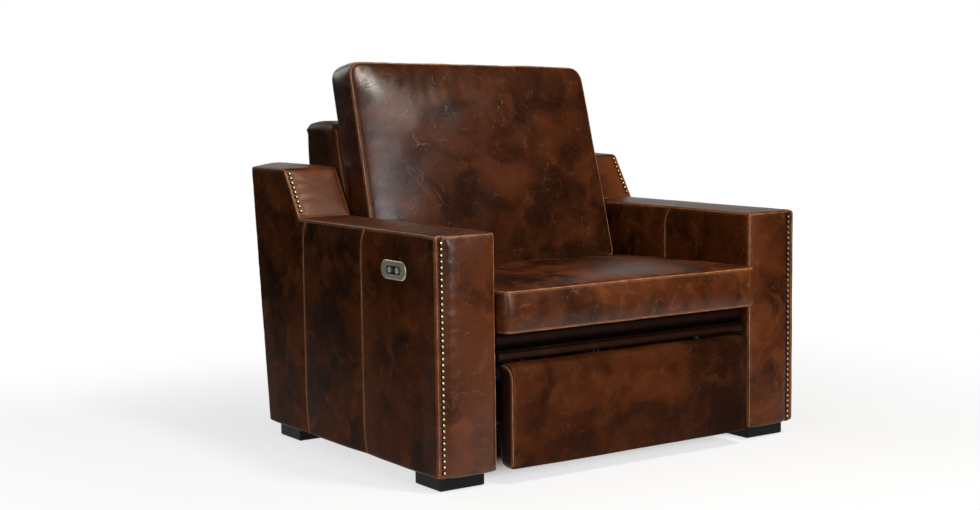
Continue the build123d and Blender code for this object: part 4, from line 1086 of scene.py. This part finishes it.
def arm_seams(side):
    """Seams of one arm; side is 1 on the right and -1 on the left."""
    outer, inner, nails, corner = side * ARM_HIGH.x, side * ARM_LOW.x, side * NAIL_X, side * CORNER_WELT_X
    front, low, wing, rear_top = ARM_LOW.y, ARM_LOW.z, ARM_HIGH.z, ARM_HIGH.y
    top = ARM_TOP - TOP_SEAM_DROP
    wing_row = WING_BASE_Y + 0.006, ARM_TOP + 0.01, WING_FRONT_Y - 0.006, wing - 0.01
    seams = [
        Seam([(outer, front, top), (outer, WING_BASE_Y, top)], 0.0010, 0.03, 0.8, side * TOP_STITCH),
        Seam([(inner, front, top), (inner, WING_BASE_Y, top)], 0.0010, 0.03, 0.7),
        Seam([(inner, front, top), (outer, front, top)], 0.0012, 0.025, 0.8),
        Seam([(inner, front, low), (inner, front, top)], 0.0010, 0.02, 0.9, -side * 0.0042),
        Seam([(corner, front, low), (corner, front, top)], 0.0, 0.02, 0.55, draw=0.0003),
        Seam([(nails, front, low), (nails, front, ARM_TOP - 0.012)], 0.0020, 0.015, 0.0, draw=0.0006),
        Seam([(outer, WING_BASE_Y, ARM_TOP), (outer, WING_FRONT_Y, wing)], 0.0006, 0.02, 0.95),
        Seam([(nails, *wing_row[:2]), (nails, *wing_row[2:])], 0.0022, 0.016, 0.0),
        Seam([(inner, WING_BASE_Y, ARM_TOP), (inner, WING_FRONT_Y, wing)], 0.0010, 0.02, 0.8, -side * 0.004),
        Seam([(inner, WING_BASE_Y, ARM_TOP), (outer, WING_BASE_Y, ARM_TOP)], 0.0008, 0.03, 0.6, draw=0.002),
        Seam([(outer, WING_FRONT_Y, wing), (outer, rear_top, wing)], 0.0008, 0.03, 0.6),
        Seam([(inner, WING_FRONT_Y, wing), (inner, rear_top, wing)], 0.0008, 0.03, 0.6),
        Seam([(inner, WING_FRONT_Y, wing), (outer, WING_FRONT_Y, wing)], 0.0008, 0.03, 0.0),
        Seam([(outer, rear_top, wing), (outer, ARM_REAR_LOW_Y, low)], 0.0008, 0.03, 0.6),
        Seam([(inner, rear_top, wing), (inner, ARM_REAR_LOW_Y, low)], 0.0, 0.03, 0.5),
    ]
    shoulder = ARM_TOP - 0.03
    for y in OUTER_SEAM_YS:
        turns = ((y - 0.012, low), (y, low + 0.07), (y, shoulder), (y - 0.022, top))
        seams.append(Seam(rounded([(outer, *turn) for turn in turns]), 0.0012, 0.03, 1.0, TOP_STITCH))
    turns = ((INNER_SEAM_Y, low), (INNER_SEAM_Y, shoulder), (INNER_SEAM_Y - 0.024, top))
    seams.append(Seam(rounded([(inner, *turn) for turn in turns]), 0.0008, 0.03, 0.8, TOP_STITCH))
    return seams


def grow_arm(rows, side):
    """Places of an arm with its stuffed outer, rear and wing sides stood out."""
    grown = rows.copy()
    out_x, y, z = side * rows[:, 0], rows[:, 1], rows[:, 2]
    rear = ARM_REAR_LOW_Y + (z - ARM_LOW.z) * (ARM_HIGH.y - ARM_REAR_LOW_Y) / (ARM_HIGH.z - ARM_LOW.z)
    ahead = smooth(1 - (y - ARM_LOW.y) / 0.07)
    grown[:, 0] += side * part((out_x - ARM_HIGH.x) / 0.01 + 1) * (OUTER_GROWTH + FRONT_CORNER_GROWTH * ahead)
    from_nails = 1 - np.exp(-np.maximum(NAIL_X - out_x, 0) / FRONT_GROWTH_REACH)
    grown[:, 1] -= FRONT_GROWTH * from_nails * part(1 - (y - ARM_LOW.y) / 0.04)
    from_corner = np.abs(ARM_HIGH.x - out_x) + np.abs(y - ARM_LOW.y)
    crisp_share = CORNER_CRISP * fading(from_corner, 0.008)
    grown[:, 0] += side * crisp_share
    grown[:, 1] -= crisp_share
    grown[:, 1] += REAR_GROWTH * part((y - rear) / 0.03 + 1)
    grown[:, 2] += WING_GROWTH * part((z - ARM_HIGH.z) / 0.03 + 1)
    return grown


def nail_band(rows, side, corner, axis):
    """Places with the leather drawn flat under a row of nails, across an axis through a corner."""
    axis = np.array(axis)
    over = (rows - np.array(corner)) @ axis
    from_row = np.abs(side * rows[:, 0] - NAIL_X)
    share = smooth((NAIL_ROW_FLAT - from_row) / NAIL_ROW_BLEND + 1) * (np.abs(over) < NAIL_ROW_REACH)
    return rows + axis * (share * (-NAIL_SINK - over))[:, None]


def inner_edge(edge, side, height):
    """True for an edge along the arm's inner side at a height."""
    beside = all(side * vert.co.x < ARM_LOW.x + NEAR for vert in edge.verts)
    return beside and runs_along(edge, 1) and all(abs(vert.co.z - height) < NEAR for vert in edge.verts)


def bezel_reach(rows, side):
    """Distance outside the bezel's rim on the face that holds the switch, far off elsewhere."""
    middle = (BEZEL_LOW + BEZEL_HIGH) / 2
    half = (BEZEL_HIGH - BEZEL_LOW) / 2
    along = np.maximum(np.abs(rows[:, 1] - middle.y) - (half.y - half.z), 0)
    reach = np.hypot(along, rows[:, 2] - middle.z) - half.z
    on_face = (rows[:, 0] < -ARM_HIGH.x + 0.02) & (side < 0)
    return np.where(on_face, reach, 1.0)


def on_wing(rows, normals):
    """True on the sloping front of a wing."""
    return (rows[:, 1] > WING_BASE_Y - 0.004) & (rows[:, 2] > ARM_TOP) & (normals[:, 1] < -0.5)


def near_switch(rows, side, fade):
    """Share of 1 beside the switch, which fades out over a distance."""
    return smooth((fade - bezel_reach(rows, side)) / (fade - 0.006))


class RECLINER_OT_arms(bpy.types.Operator):
    """Upholstered arms with their wings, seams, welts and stitches."""

    bl_idname = "recliner.arms"
    bl_label = "Arms"

    def execute(self, context):
        for name, side in (("left", -1), ("right", 1)):
            self.arm(context, name, side)
        return {"FINISHED"}

    def arm(self, context, name, side):
        low_x, high_x = sorted((side * ARM_LOW.x, side * ARM_HIGH.x))
        bm = prism(arm_outline(), low_x, high_x)
        round_edges(bm, lambda edge: runs_along(edge, 0), 0.007, 4)
        round_edges(bm, lambda edge: inner_edge(edge, side, ARM_LOW.z), 0.015, 5)
        round_edges(bm, lambda edge: inner_edge(edge, side, ARM_TOP), 0.014, 5)
        round_edges(bm, lambda edge: cap_rim(edge, 0), 0.0045, 3)
        made = piece("arm_" + name, bm)
        even_grid(made, context.scene.recliner_padding.arm_grid)
        relax(made, 2)
        move_points(made.data, grow_arm(points_of(made.data), side))
        seams = arm_seams(side)
        for seam in seams:
            seam.route = [Vector(row) for row in grow_arm(np.array(seam.route), side)]

        def height(rows, normals):
            over_seat = part((rows[:, 2] - INNER_PANEL_Z) / 0.10)
            flat = OUTER_SWELL * part(side * normals[:, 0]) * (1 - 0.7 * near_switch(rows, side, 0.13))
            flat += INNER_SWELL * part(-side * normals[:, 0]) * over_seat + REAR_SWELL * part(normals[:, 1])
            crown = FRONT_SWELL * part(-normals[:, 1]) + TOP_SWELL * part(normals[:, 2])
            return flat + crown * np.where(on_wing(rows, normals), 0.25, 1.0)

        def spread(rows, normals):
            return np.where(normals[:, 1] < -0.5, 0.022, 0.045)

        upholster(made, seams, height, spread, 0.0008, 2.0 + side)
        self.tones_and_painted_light(made, side)
        if side < 0:
            self.switch_recess(made, side)
        rows = points_of(made.data)
        inner_limit = ARM_LOW.x - np.where(rows[:, 2] > INNER_PANEL_Z, INNER_ROOM, 0.0)
        rows[:, 0] = side * np.maximum(side * rows[:, 0], inner_limit)
        rows[:, 2] = np.maximum(rows[:, 2], ARM_LOW.z)
        rows = nail_band(rows, side, (0, ARM_LOW.y, ARM_TOP), ARM_NAIL_AXIS)
        above = (rows[:, 2] > ARM_TOP + 0.004) & (rows[:, 2] < ARM_HIGH.z - 0.008)
        rows[above] = nail_band(rows[above], side, (0, WING_BASE_Y, ARM_TOP), WING_NAIL_AXIS)
        move_points(made.data, rows)
        nodes = ["arm_cover_" + name, "arm_pad_" + name]
        soft_piece(made, "arm_" + name, seams, "base", "arm_leather", nodes, context)

    def tones_and_painted_light(self, made, side):
        """Lighter and darker leather, panel by panel: partly hide tone, partly painted light on the front
        panels, and a painted highlight across the wing fronts.
        """
        rows, normals = points_of(made.data), normals_of(made.data)
        y, forwards = rows[:, 1], normals[:, 1] < -0.6
        outer_tone = np.where(y > OUTER_SEAM_YS[0], 0.05, np.where(y > OUTER_SEAM_YS[1], -0.25, 0.10))
        tone = np.where(side * normals[:, 0] > 0.6, outer_tone, 0.0)
        # Front panels lighter: partly hide tone, partly painted light on the faces that look towards the
        # lamps.
        tone = np.where(forwards, 0.30 - 0.12 * side, tone)
        outwards = (side * rows[:, 0] - ARM_LOW.x) / (ARM_HIGH.x - ARM_LOW.x)
        # Wing fronts lighten towards their outer side: partly lighter hide, partly painted highlight.
        tone = np.where(on_wing(rows, normals), 0.25 + 0.80 * outwards, tone)
        tone = np.where(normals[:, 2] > 0.75, 0.0, tone)
        gloss = np.where(np.abs(normals[:, 0]) > 0.6, 0.05, 0.50)
        gloss = np.where(normals[:, 1] < -0.3, 0.70 - 0.30 * side, gloss)
        note(made, tone, np.where(on_wing(rows, normals), 0.60, gloss))

    def switch_recess(self, made, side):
        """Flat place under the switch's bezel, and room for the switch behind it."""
        rows = points_of(made.data)
        rows[:, 0] += near_switch(rows, side, 0.07) * (-ARM_HIGH.x + 0.0004 - rows[:, 0])
        rows[bezel_reach(rows, side) < -0.004, 0] = -ARM_HIGH.x + 0.006
        move_points(made.data, rows)


class RECLINER_OT_seat_cushion(bpy.types.Operator):
    """Boxed seat cushion with a crowned top."""

    bl_idname = "recliner.seat_cushion"
    bl_label = "Seat cushion"

    def execute(self, context):
        padding = context.scene.recliner_padding
        half, front, rear = SEAT_HIGH.x - 0.0015, SEAT_LOW.y - 0.008, SEAT_HIGH.y - 0.002
        low, top_front, top_rear = SEAT_LOW.z + 0.0005, 0.4561, 0.4381
        corner = 0.011
        bm = box_mesh((-half, front, low), (half, rear, top_front))
        for vert in bm.verts:
            if vert.co.y > 0 and vert.co.z > low + NEAR:
                vert.co.z = top_rear
        round_edges(bm, lambda edge: runs_along(edge, 2), corner, 5)
        made = piece("seat_cushion_cover", bm)
        even_grid(made, padding.grid)
        relax(made, 1)

        def top_at(y):
            return top_front + (top_rear - top_front) * (y - front) / (rear - front)

        loop = rounded_loop(half, front, rear, corner, corner)
        upper = [(x, y, top_at(y)) for x, y in loop]
        lower = [(x, y, low) for x, y in loop]
        seams = [
            Seam(upper, 0.0012, 0.040, 1.1, TOP_STITCH, closed=True),
            Seam(lower, 0.0010, 0.040, 1.1, -TOP_STITCH, closed=True),
        ]
        rows = points_of(made.data)
        across = part(1 - (rows[:, 0] / half) ** 2)
        middle, reach = (front + rear) / 2, (rear - front) / 2
        deep = part(1 - ((rows[:, 1] - middle) / reach) ** 2)
        share = part((rows[:, 2] - low) / (top_at(rows[:, 1]) - low))
        rows[:, 2] += 0.007 * share ** 3 * across ** 0.6 * deep ** 0.6
        move_points(made.data, rows)
        fill_cover(made, seams, 0.0075, lambda rows: rows[:, 2] < low + 0.004, 0.017, 0.004, 7, padding)
        upholster(made, seams, even_swell, 0.03, 0.0008, 3.0, 0.8)
        side_room = SEAT_HIGH.x + 0.0015
        settle(made, (-side_room, SEAT_LOW.y - 0.020, SEAT_LOW.z), (side_room, SEAT_HIGH.y, 0.490))
        upwards = normals_of(made.data)[:, 2] > 0.6
        note(made, np.where(upwards, -0.05, 0.20), np.where(upwards, 0.40, 0.85))
        soft_piece(made, "seat_cushion", seams, "seat", "seat_leather", ["seat_cushion"], context)
        return {"FINISHED"}


class RECLINER_OT_back_cushion(bpy.types.Operator):
    """Tall boxed back cushion that leans against the tight back."""

    bl_idname = "recliner.back_cushion"
    bl_label = "Back cushion"

    def execute(self, context):
        padding = context.scene.recliner_padding
        half, corner, foot_corner, foot = BACK_HALF - 0.002, 0.036, 0.012, -0.010
        front, rear = 0.0, BACK_THICKNESS - 0.001
        top_front, top_rear = BACK_LENGTH, BACK_LENGTH + BACK_REAR_RISE
        bm = box_mesh((-half, front, foot), (half, rear, top_front))
        for vert in bm.verts:
            if vert.co.y > front + NEAR and vert.co.z > foot + NEAR:
                vert.co.z = top_rear
        round_edges(bm, lambda edge: goes_back(edge) and edge.verts[0].co.z > top_front - NEAR, corner, 6)
        round_edges(bm, lambda edge: goes_back(edge) and edge.verts[0].co.z < foot + NEAR, foot_corner, 4)
        made = piece("back_cushion_cover", bm)
        even_grid(made, padding.grid)
        relax(made, 1)
        front_loop = [(x, front, z) for x, z in rounded_loop(half, foot, top_front, corner, foot_corner)]
        rear_loop = [(x, rear, z) for x, z in rounded_loop(half, foot, top_rear, corner, foot_corner)]
        seams = [
            Seam(front_loop, 0.0014, 0.045, 1.1, TOP_STITCH, closed=True),
            Seam(rear_loop, 0.0012, 0.045, 1.0, closed=True),
        ]
        rows = points_of(made.data)
        across = part(1 - (rows[:, 0] / half) ** 2)
        upright = part(1 - ((rows[:, 2] - top_front / 2) / (top_front / 2)) ** 2)
        share = part(1 - (rows[:, 1] - front) / (rear - front))
        rows[:, 1] -= 0.034 * share ** 3 * across ** 0.62 * upright ** 0.62
        move_points(made.data, rows)
        fill_cover(made, seams, 0.0075, lambda rows: rows[:, 1] > rear - 0.004, 0.024, 0.003, 7, padding)
        upholster(made, seams, even_swell, 0.03, 0.0014, 5.0, 0.7)
        side_room = BACK_HALF + 0.004
        settle(made, (-side_room, -0.066, foot), (side_room, rear + 0.0012, top_rear + 0.012))
        # Painted shade: the cushion darkens towards its bottom, where it meets the seat.
        shade = -0.55 * smooth(1 - points_of(made.data)[:, 2] / 0.16)
        note(made, np.where(normals_of(made.data)[:, 1] < -0.6, -0.05, -0.20) + shade, 1.0)
        move_points(made.data, self.slump(points_of(made.data)))
        lean = Matrix.Translation(BACK_BASE) @ Matrix.Rotation(-BACK_RAKE, 4, "X")
        made.data.transform(lean)
        for seam in seams:
            seam.route = [lean @ Vector(row) for row in self.slump(np.array(seam.route))]
        soft_piece(made, "back_cushion", seams, "back", "back_leather", ["back_cushion"], context)
        return {"FINISHED"}

    def slump(self, rows):
        """Places of the upright cushion once it has settled: wider at the bottom, fuller at its top left."""
        settled = rows.copy()
        upper = part(rows[:, 2] / BACK_LENGTH)
        across = rows[:, 0] / BACK_HALF
        settled[:, 0] *= 1.016 - 0.022 * upper
        settled[:, 2] += (0.0070 - 0.0105 * across) * upper ** 2
        return settled


class RECLINER_OT_tight_back(bpy.types.Operator):
    """Tight back between the wings, and the panel that carries the outside back down."""

    bl_idname = "recliner.tight_back"
    bl_label = "Tight back"

    def execute(self, context):
        self.shell(context)
        self.skirt(context)
        return {"FINISHED"}

    def shell(self, context):
        """Shell of the tight back behind the cushion."""
        half, low, top = BACK_HIGH.x, BACK_LOW.z, BACK_HIGH.z
        edge_round, corner_round = 0.010, 0.026
        outline = [
            (TIGHT_FRONT_LOW_Y, low), (TIGHT_REAR_LOW_Y, low),
            (TIGHT_REAR_TOP_Y, top), (TIGHT_FRONT_TOP_Y, top)]
        bm = prism(outline, -half, half)
        round_edges(bm, lambda edge: runs_along(edge, 0) and edge.verts[0].co.z > top - NEAR, edge_round, 4)

        def at_top(edge):
            return cap_rim(edge, 0) and min(vert.co.z for vert in edge.verts) > top - edge_round - NEAR

        round_edges(bm, at_top, corner_round, 6)
        round_edges(bm, lambda edge: cap_rim(edge, 0), 0.007, 4)
        made = piece("tight_back", bm)
        even_grid(made, context.scene.recliner_padding.panel_grid)
        relax(made, 3)
        seam_top = top - 0.012
        seams = []
        for side in (-1, 1):
            x = side * half
            ends = ((TIGHT_FRONT_LOW_Y, TIGHT_FRONT_TOP_Y, side), (TIGHT_REAR_LOW_Y, TIGHT_REAR_TOP_Y, -side))
            for low_y, top_y, way in ends:
                route = [(x, low_y, low), (x, top_y, seam_top)]
                seams.append(Seam(route, 0.001, 0.03, 0.9, BACK_STITCH * way))
        for y in (TIGHT_FRONT_TOP_Y, TIGHT_REAR_TOP_Y):
            seams.append(Seam([(-half + 0.02, y, top), (half - 0.02, y, top)], 0.0016, 0.035, 0.8))

        def height(rows, normals):
            return 0.006 * part(normals[:, 1]) + 0.006 * part(normals[:, 2]) + 0.002 * np.abs(normals[:, 0])

        upholster(made, seams, height, ripple=0.0007, seed=7.0)
        rows = points_of(made.data)
        slope = (TIGHT_FRONT_TOP_Y - TIGHT_FRONT_LOW_Y) / (top - low)
        rows[:, 1] = np.maximum(rows[:, 1], TIGHT_FRONT_LOW_Y + slope * (rows[:, 2] - low))
        move_points(made.data, rows)
        note(made, -0.10, 0.15)
        soft_piece(made, "tight_back", seams, "back", "back_leather", ["back_cover"], context)

    def skirt(self, context):
        """Panel that carries the outside back down."""
        half, low, top = SKIRT_HIGH.x, SKIRT_LOW.z, SKIRT_HIGH.z
        rear_low = TIGHT_REAR_LOW_Y - (top - low) * math.tan(TIGHT_REAR_RAKE)
        thick = 0.020
        outline = [
            (rear_low - thick, low), (rear_low, low),
            (TIGHT_REAR_LOW_Y, top), (TIGHT_REAR_LOW_Y - thick, top)]
        bm = prism(outline, -half, half)
        round_edges(bm, lambda edge: runs_along(edge, 0) or cap_rim(edge, 0), 0.004, 3)
        made = piece("back_skirt_panel", bm)
        even_grid(made, SKIRT_GRID)
        relax(made, 2)
        left_low, right_low = (-half, rear_low, low), (half, rear_low, low)
        left_top, right_top = (-half, TIGHT_REAR_LOW_Y, top), (half, TIGHT_REAR_LOW_Y, top)
        seams = [
            Seam([left_low, right_low], 0.001, 0.03, 0.8, BACK_STITCH),
            Seam([left_low, left_top], 0.001, 0.03, 0.8, -BACK_STITCH),
            Seam([right_low, right_top], 0.001, 0.03, 0.8, BACK_STITCH),
            Seam([left_top, right_top], 0.001, 0.03, 0.0),
        ]
        upholster(made, seams, lambda rows, normals: 0.004 * part(normals[:, 1]), ripple=0.0006, seed=8.0)
        settle(made, (-half, -1.0, low), (half, 1.0, top))
        note(made, -0.05, 0.40)
        soft_piece(made, "back_skirt", seams, "back", "back_leather", ["back_skirt"], context)


class RECLINER_OT_footrest(bpy.types.Operator):
    """Padded footrest panel with a rolled top edge and sewn sides."""

    bl_idname = "recliner.footrest"
    bl_label = "Footrest"

    def execute(self, context):
        padding = context.scene.recliner_padding
        half, front, rear = PAD_HIGH.x - 0.001, PAD_LOW.y - 0.004, PAD_HIGH.y
        low, top = PAD_LOW.z + 0.001, PAD_HIGH.z - 0.002
        roll, heel, inset = 0.026, 0.010, 0.005
        bm = prism([(front, low), (front, top), (rear, top), (rear, low)], -half, half)
        for y, z, radius, segments in ((front, top, roll, 7), (front, low, heel, 4), (rear, low, roll, 6)):
            round_edges(bm, lambda edge: lengthwise_at(edge, y, z), radius, segments)
        made = piece("footrest_cover", bm)
        even_grid(made, padding.panel_grid)
        relax(made, 1)
        eased = roll * 0.29 + inset
        profile = rounded([
            (0, rear, low + inset), (0, front + inset, low + inset), (0, front + inset, top - roll),
            (0, front + eased, top - eased), (0, front + roll, top - inset), (0, rear, top - inset)], 4)
        seams = []
        for side in (-1, 1):
            route = [(side * half, point.y, point.z) for point in profile]
            seams.append(Seam(route, 0.0010, 0.04, 1.0, TOP_STITCH * side))
        fill_cover(made, seams, 0.006, lambda rows: rows[:, 1] > front + 0.004, 0.007, 0.0, 1, padding)
        upholster(made, seams, lambda rows, normals: 0.0025 * part(-normals[:, 1]), 0.05, 0.0007, 11.0, 0.5)
        room_low = Vector((-PAD_HIGH.x - 0.001, PAD_LOW.y - 0.013, PAD_LOW.z - 0.001))
        room_high = Vector((PAD_HIGH.x + 0.001, PAD_HIGH.y, PAD_HIGH.z + 0.001))
        settle(made, room_low, room_high)
        rows, normals = points_of(made.data), normals_of(made.data)
        # Darker towards the right end and towards the bottom.
        tone = 0.10 - 1.25 * smooth((rows[:, 0] - 0.08) / 0.24) - 0.35 * smooth((0.20 - rows[:, 2]) / 0.12)
        # Painted shade: the side gussets, which stand in the narrow gap beside the arms, are darkened.
        tone = np.where(np.abs(normals[:, 0]) > 0.6, -0.9, tone)
        note(made, tone, np.where(normals[:, 0] < -0.3, 0.60, 0.10))
        soft_piece(made, "footrest", seams, "footrest", "footrest_leather", ["footrest_pad"], context)
        return {"FINISHED"}


class RECLINER_OT_seat_rail(bpy.types.Operator):
    """Padded strip on the seat's front rail, and the deck cloth over the springs."""

    bl_idname = "recliner.seat_rail"
    bl_label = "Seat rail and deck"

    def execute(self, context):
        self.rail(context)
        self.deck(context)
        return {"FINISHED"}

    def rail(self, context):
        """Padded strip with a roll along its lower edge, painted dark as shade under the seat's overhang."""
        half, low, top = RAIL_HIGH.x, RAIL_LOW.z, RAIL_HIGH.z
        front, rear, step, roll = RAIL_LOW.y, RAIL_HIGH.y, RAIL_HIGH.y - 0.004, low + 0.020
        outline = [(front, low), (front, roll), (step, roll), (step, top), (rear, top), (rear, low)]
        bm = prism(outline, -half, half)
        round_edges(bm, lambda edge: runs_along(edge, 0) and edge.verts[0].co.y < front + NEAR, 0.008, 5)
        made = piece("seat_rail_cover", bm)
        even_grid(made, RAIL_GRID)
        relax(made, 1)
        seams = [Seam([(-half, step, roll), (half, step, roll)], 0.0006, 0.03, 0.0)]
        upholster(made, seams, lambda rows, normals: 0.0015 * part(-normals[:, 1]), 0.02, 0.0006, 13.0)
        settle(made, (-half, front - 0.003, low), (half, rear, top))
        # Painted shade: near black just above the roll, lightening towards the top, and darker on the roll,
        # through the tone attribute.
        z = points_of(made.data)[:, 2]
        depth = -2.4 + 1.3 * smooth((z - roll - 0.008) / 0.024)
        note(made, np.where(z > roll + 0.003, depth, -1.1), 0.35)
        soft_piece(made, "seat_rail", seams, "seat", "recess_leather", ["seat_front_cover"], context)

    def deck(self, context):
        """Black cloth stretched over the springs."""
        size = DECK_HIGH - DECK_LOW
        bm = bmesh.new()
        bmesh.ops.create_grid(bm, x_segments=60, y_segments=48, size=0.5)
        bmesh.ops.scale(bm, vec=(size.x, size.y, 1.0), verts=bm.verts)
        bmesh.ops.translate(bm, vec=(DECK_LOW + DECK_HIGH) / 2, verts=bm.verts)
        made = piece("deck_cloth_sheet", bm)
        rows = points_of(made.data)
        rows[:, 2] += 0.0002 * wobble(rows, 0.05, 4.0)
        move_points(made.data, rows)
        thick = made.modifiers.new("cloth", "SOLIDIFY")
        thick.thickness = size.z * 0.6
        thick.offset = 0.0
        shade_smooth(made)
        dress(made, finish("deck_cloth"))
        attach(made, "seat")
        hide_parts("seat_deck")


class RECLINER_OT_trim(bpy.types.Operator):
    """Nailheads, feet and the power switch."""

    bl_idname = "recliner.trim"
    bl_label = "Trim"

    def execute(self, context):
        for side in ("left", "right"):
            dress_node("nailheads_" + side, "antique_nails")
            for end in ("front", "rear"):
                dress_node(f"foot_{end}_{side}", "foot_lacquer")
                crisp(f"foot_{end}_{side}", 0.0012)
        dress_node("switch_bezel", "brushed_nickel")
        crisp("switch_bezel", 0.0005)
        dress_node("switch_body", "switch_moulding")
        dress_node("switch_button_open", "satin_silver")
        dress_node("switch_button_close", "satin_silver")
        return {"FINISHED"}


STEEL_NODES = (
    "base_plates", "base_tubes", "swing_links_front", "swing_links_rear", "seat_plates", "seat_tubes",
    "front_links", "rear_links", "outer_links", "inner_links", "footrest_brackets", "torque_tube",
    "torque_crank", "back_brackets", "drive_hangers",
)
ZINC_NODES = (
    "base_bolts", "base_pins", "seat_bolts", "seat_pins", "front_link_pins", "outer_link_pins",
    "footrest_pins", "back_bolts", "drive_screw", "drive_rail",
)
PLASTIC_NODES = ("drive_gearbox", "drive_motor", "drive_nut", "power_inlet")
FRAME_NODES = {
    "arm_frame_left": "frame_timber", "arm_frame_right": "frame_timber", "seat_frame": "stained_timber",
    "rear_rail": "stained_timber", "footrest_board": "stained_timber", "back_frame": "post_timber",
}


class RECLINER_OT_mechanism(bpy.types.Operator):
    """Steel, drive and wooden frames inside the chair."""

    bl_idname = "recliner.mechanism"
    bl_label = "Mechanism and frames"

    def execute(self, context):
        for node in STEEL_NODES:
            dress_node(node, "coated_steel")
        for node in ZINC_NODES:
            dress_node(node, "zinc_plate")
        for node in PLASTIC_NODES:
            dress_node(node, "drive_casing")
        for node, material in FRAME_NODES.items():
            dress_node(node, material)
        dress_node("seat_springs", "spring_wire")
        dress_node("tube_bushes", "nylon")
        return {"FINISHED"}


OPERATORS = (
    RECLINER_OT_stage, RECLINER_OT_arms, RECLINER_OT_seat_cushion, RECLINER_OT_back_cushion,
    RECLINER_OT_tight_back, RECLINER_OT_footrest, RECLINER_OT_seat_rail, RECLINER_OT_trim,
    RECLINER_OT_mechanism,
)
SETTINGS = {
    "recliner_leather": LeatherSettings, "recliner_sewing": SewingSettings,
    "recliner_padding": PaddingSettings, "recliner_stage": StageSettings,
}


class RECLINER_PT_panel(bpy.types.Panel):
    """Sidebar panel with every step of the chair."""

    bl_idname = "RECLINER_PT_panel"
    bl_label = "Power Recliner Chair"
    bl_space_type = "VIEW_3D"
    bl_region_type = "UI"
    bl_category = "Recliner"

    def draw(self, context):
        for operator in OPERATORS:
            self.layout.operator(operator.bl_idname)
        for name, group in SETTINGS.items():
            box = self.layout.box()
            box.label(text=group.__doc__)
            for key in group.__annotations__:
                box.prop(getattr(context.scene, name), key)


CLASSES = (*SETTINGS.values(), *OPERATORS, RECLINER_PT_panel)


def register():
    for made in CLASSES:
        bpy.utils.register_class(made)
    for name, group in SETTINGS.items():
        setattr(bpy.types.Scene, name, PointerProperty(type=group))


def unregister():
    for name in SETTINGS:
        delattr(bpy.types.Scene, name)
    for made in reversed(CLASSES):
        bpy.utils.unregister_class(made)


def main():
    """Register the add-on and make the chair piece by piece."""
    register()
    for operator in OPERATORS:
        group, step = operator.bl_idname.split(".")
        getattr(getattr(bpy.ops, group), step)()


if __name__ == "__main__":
    main()
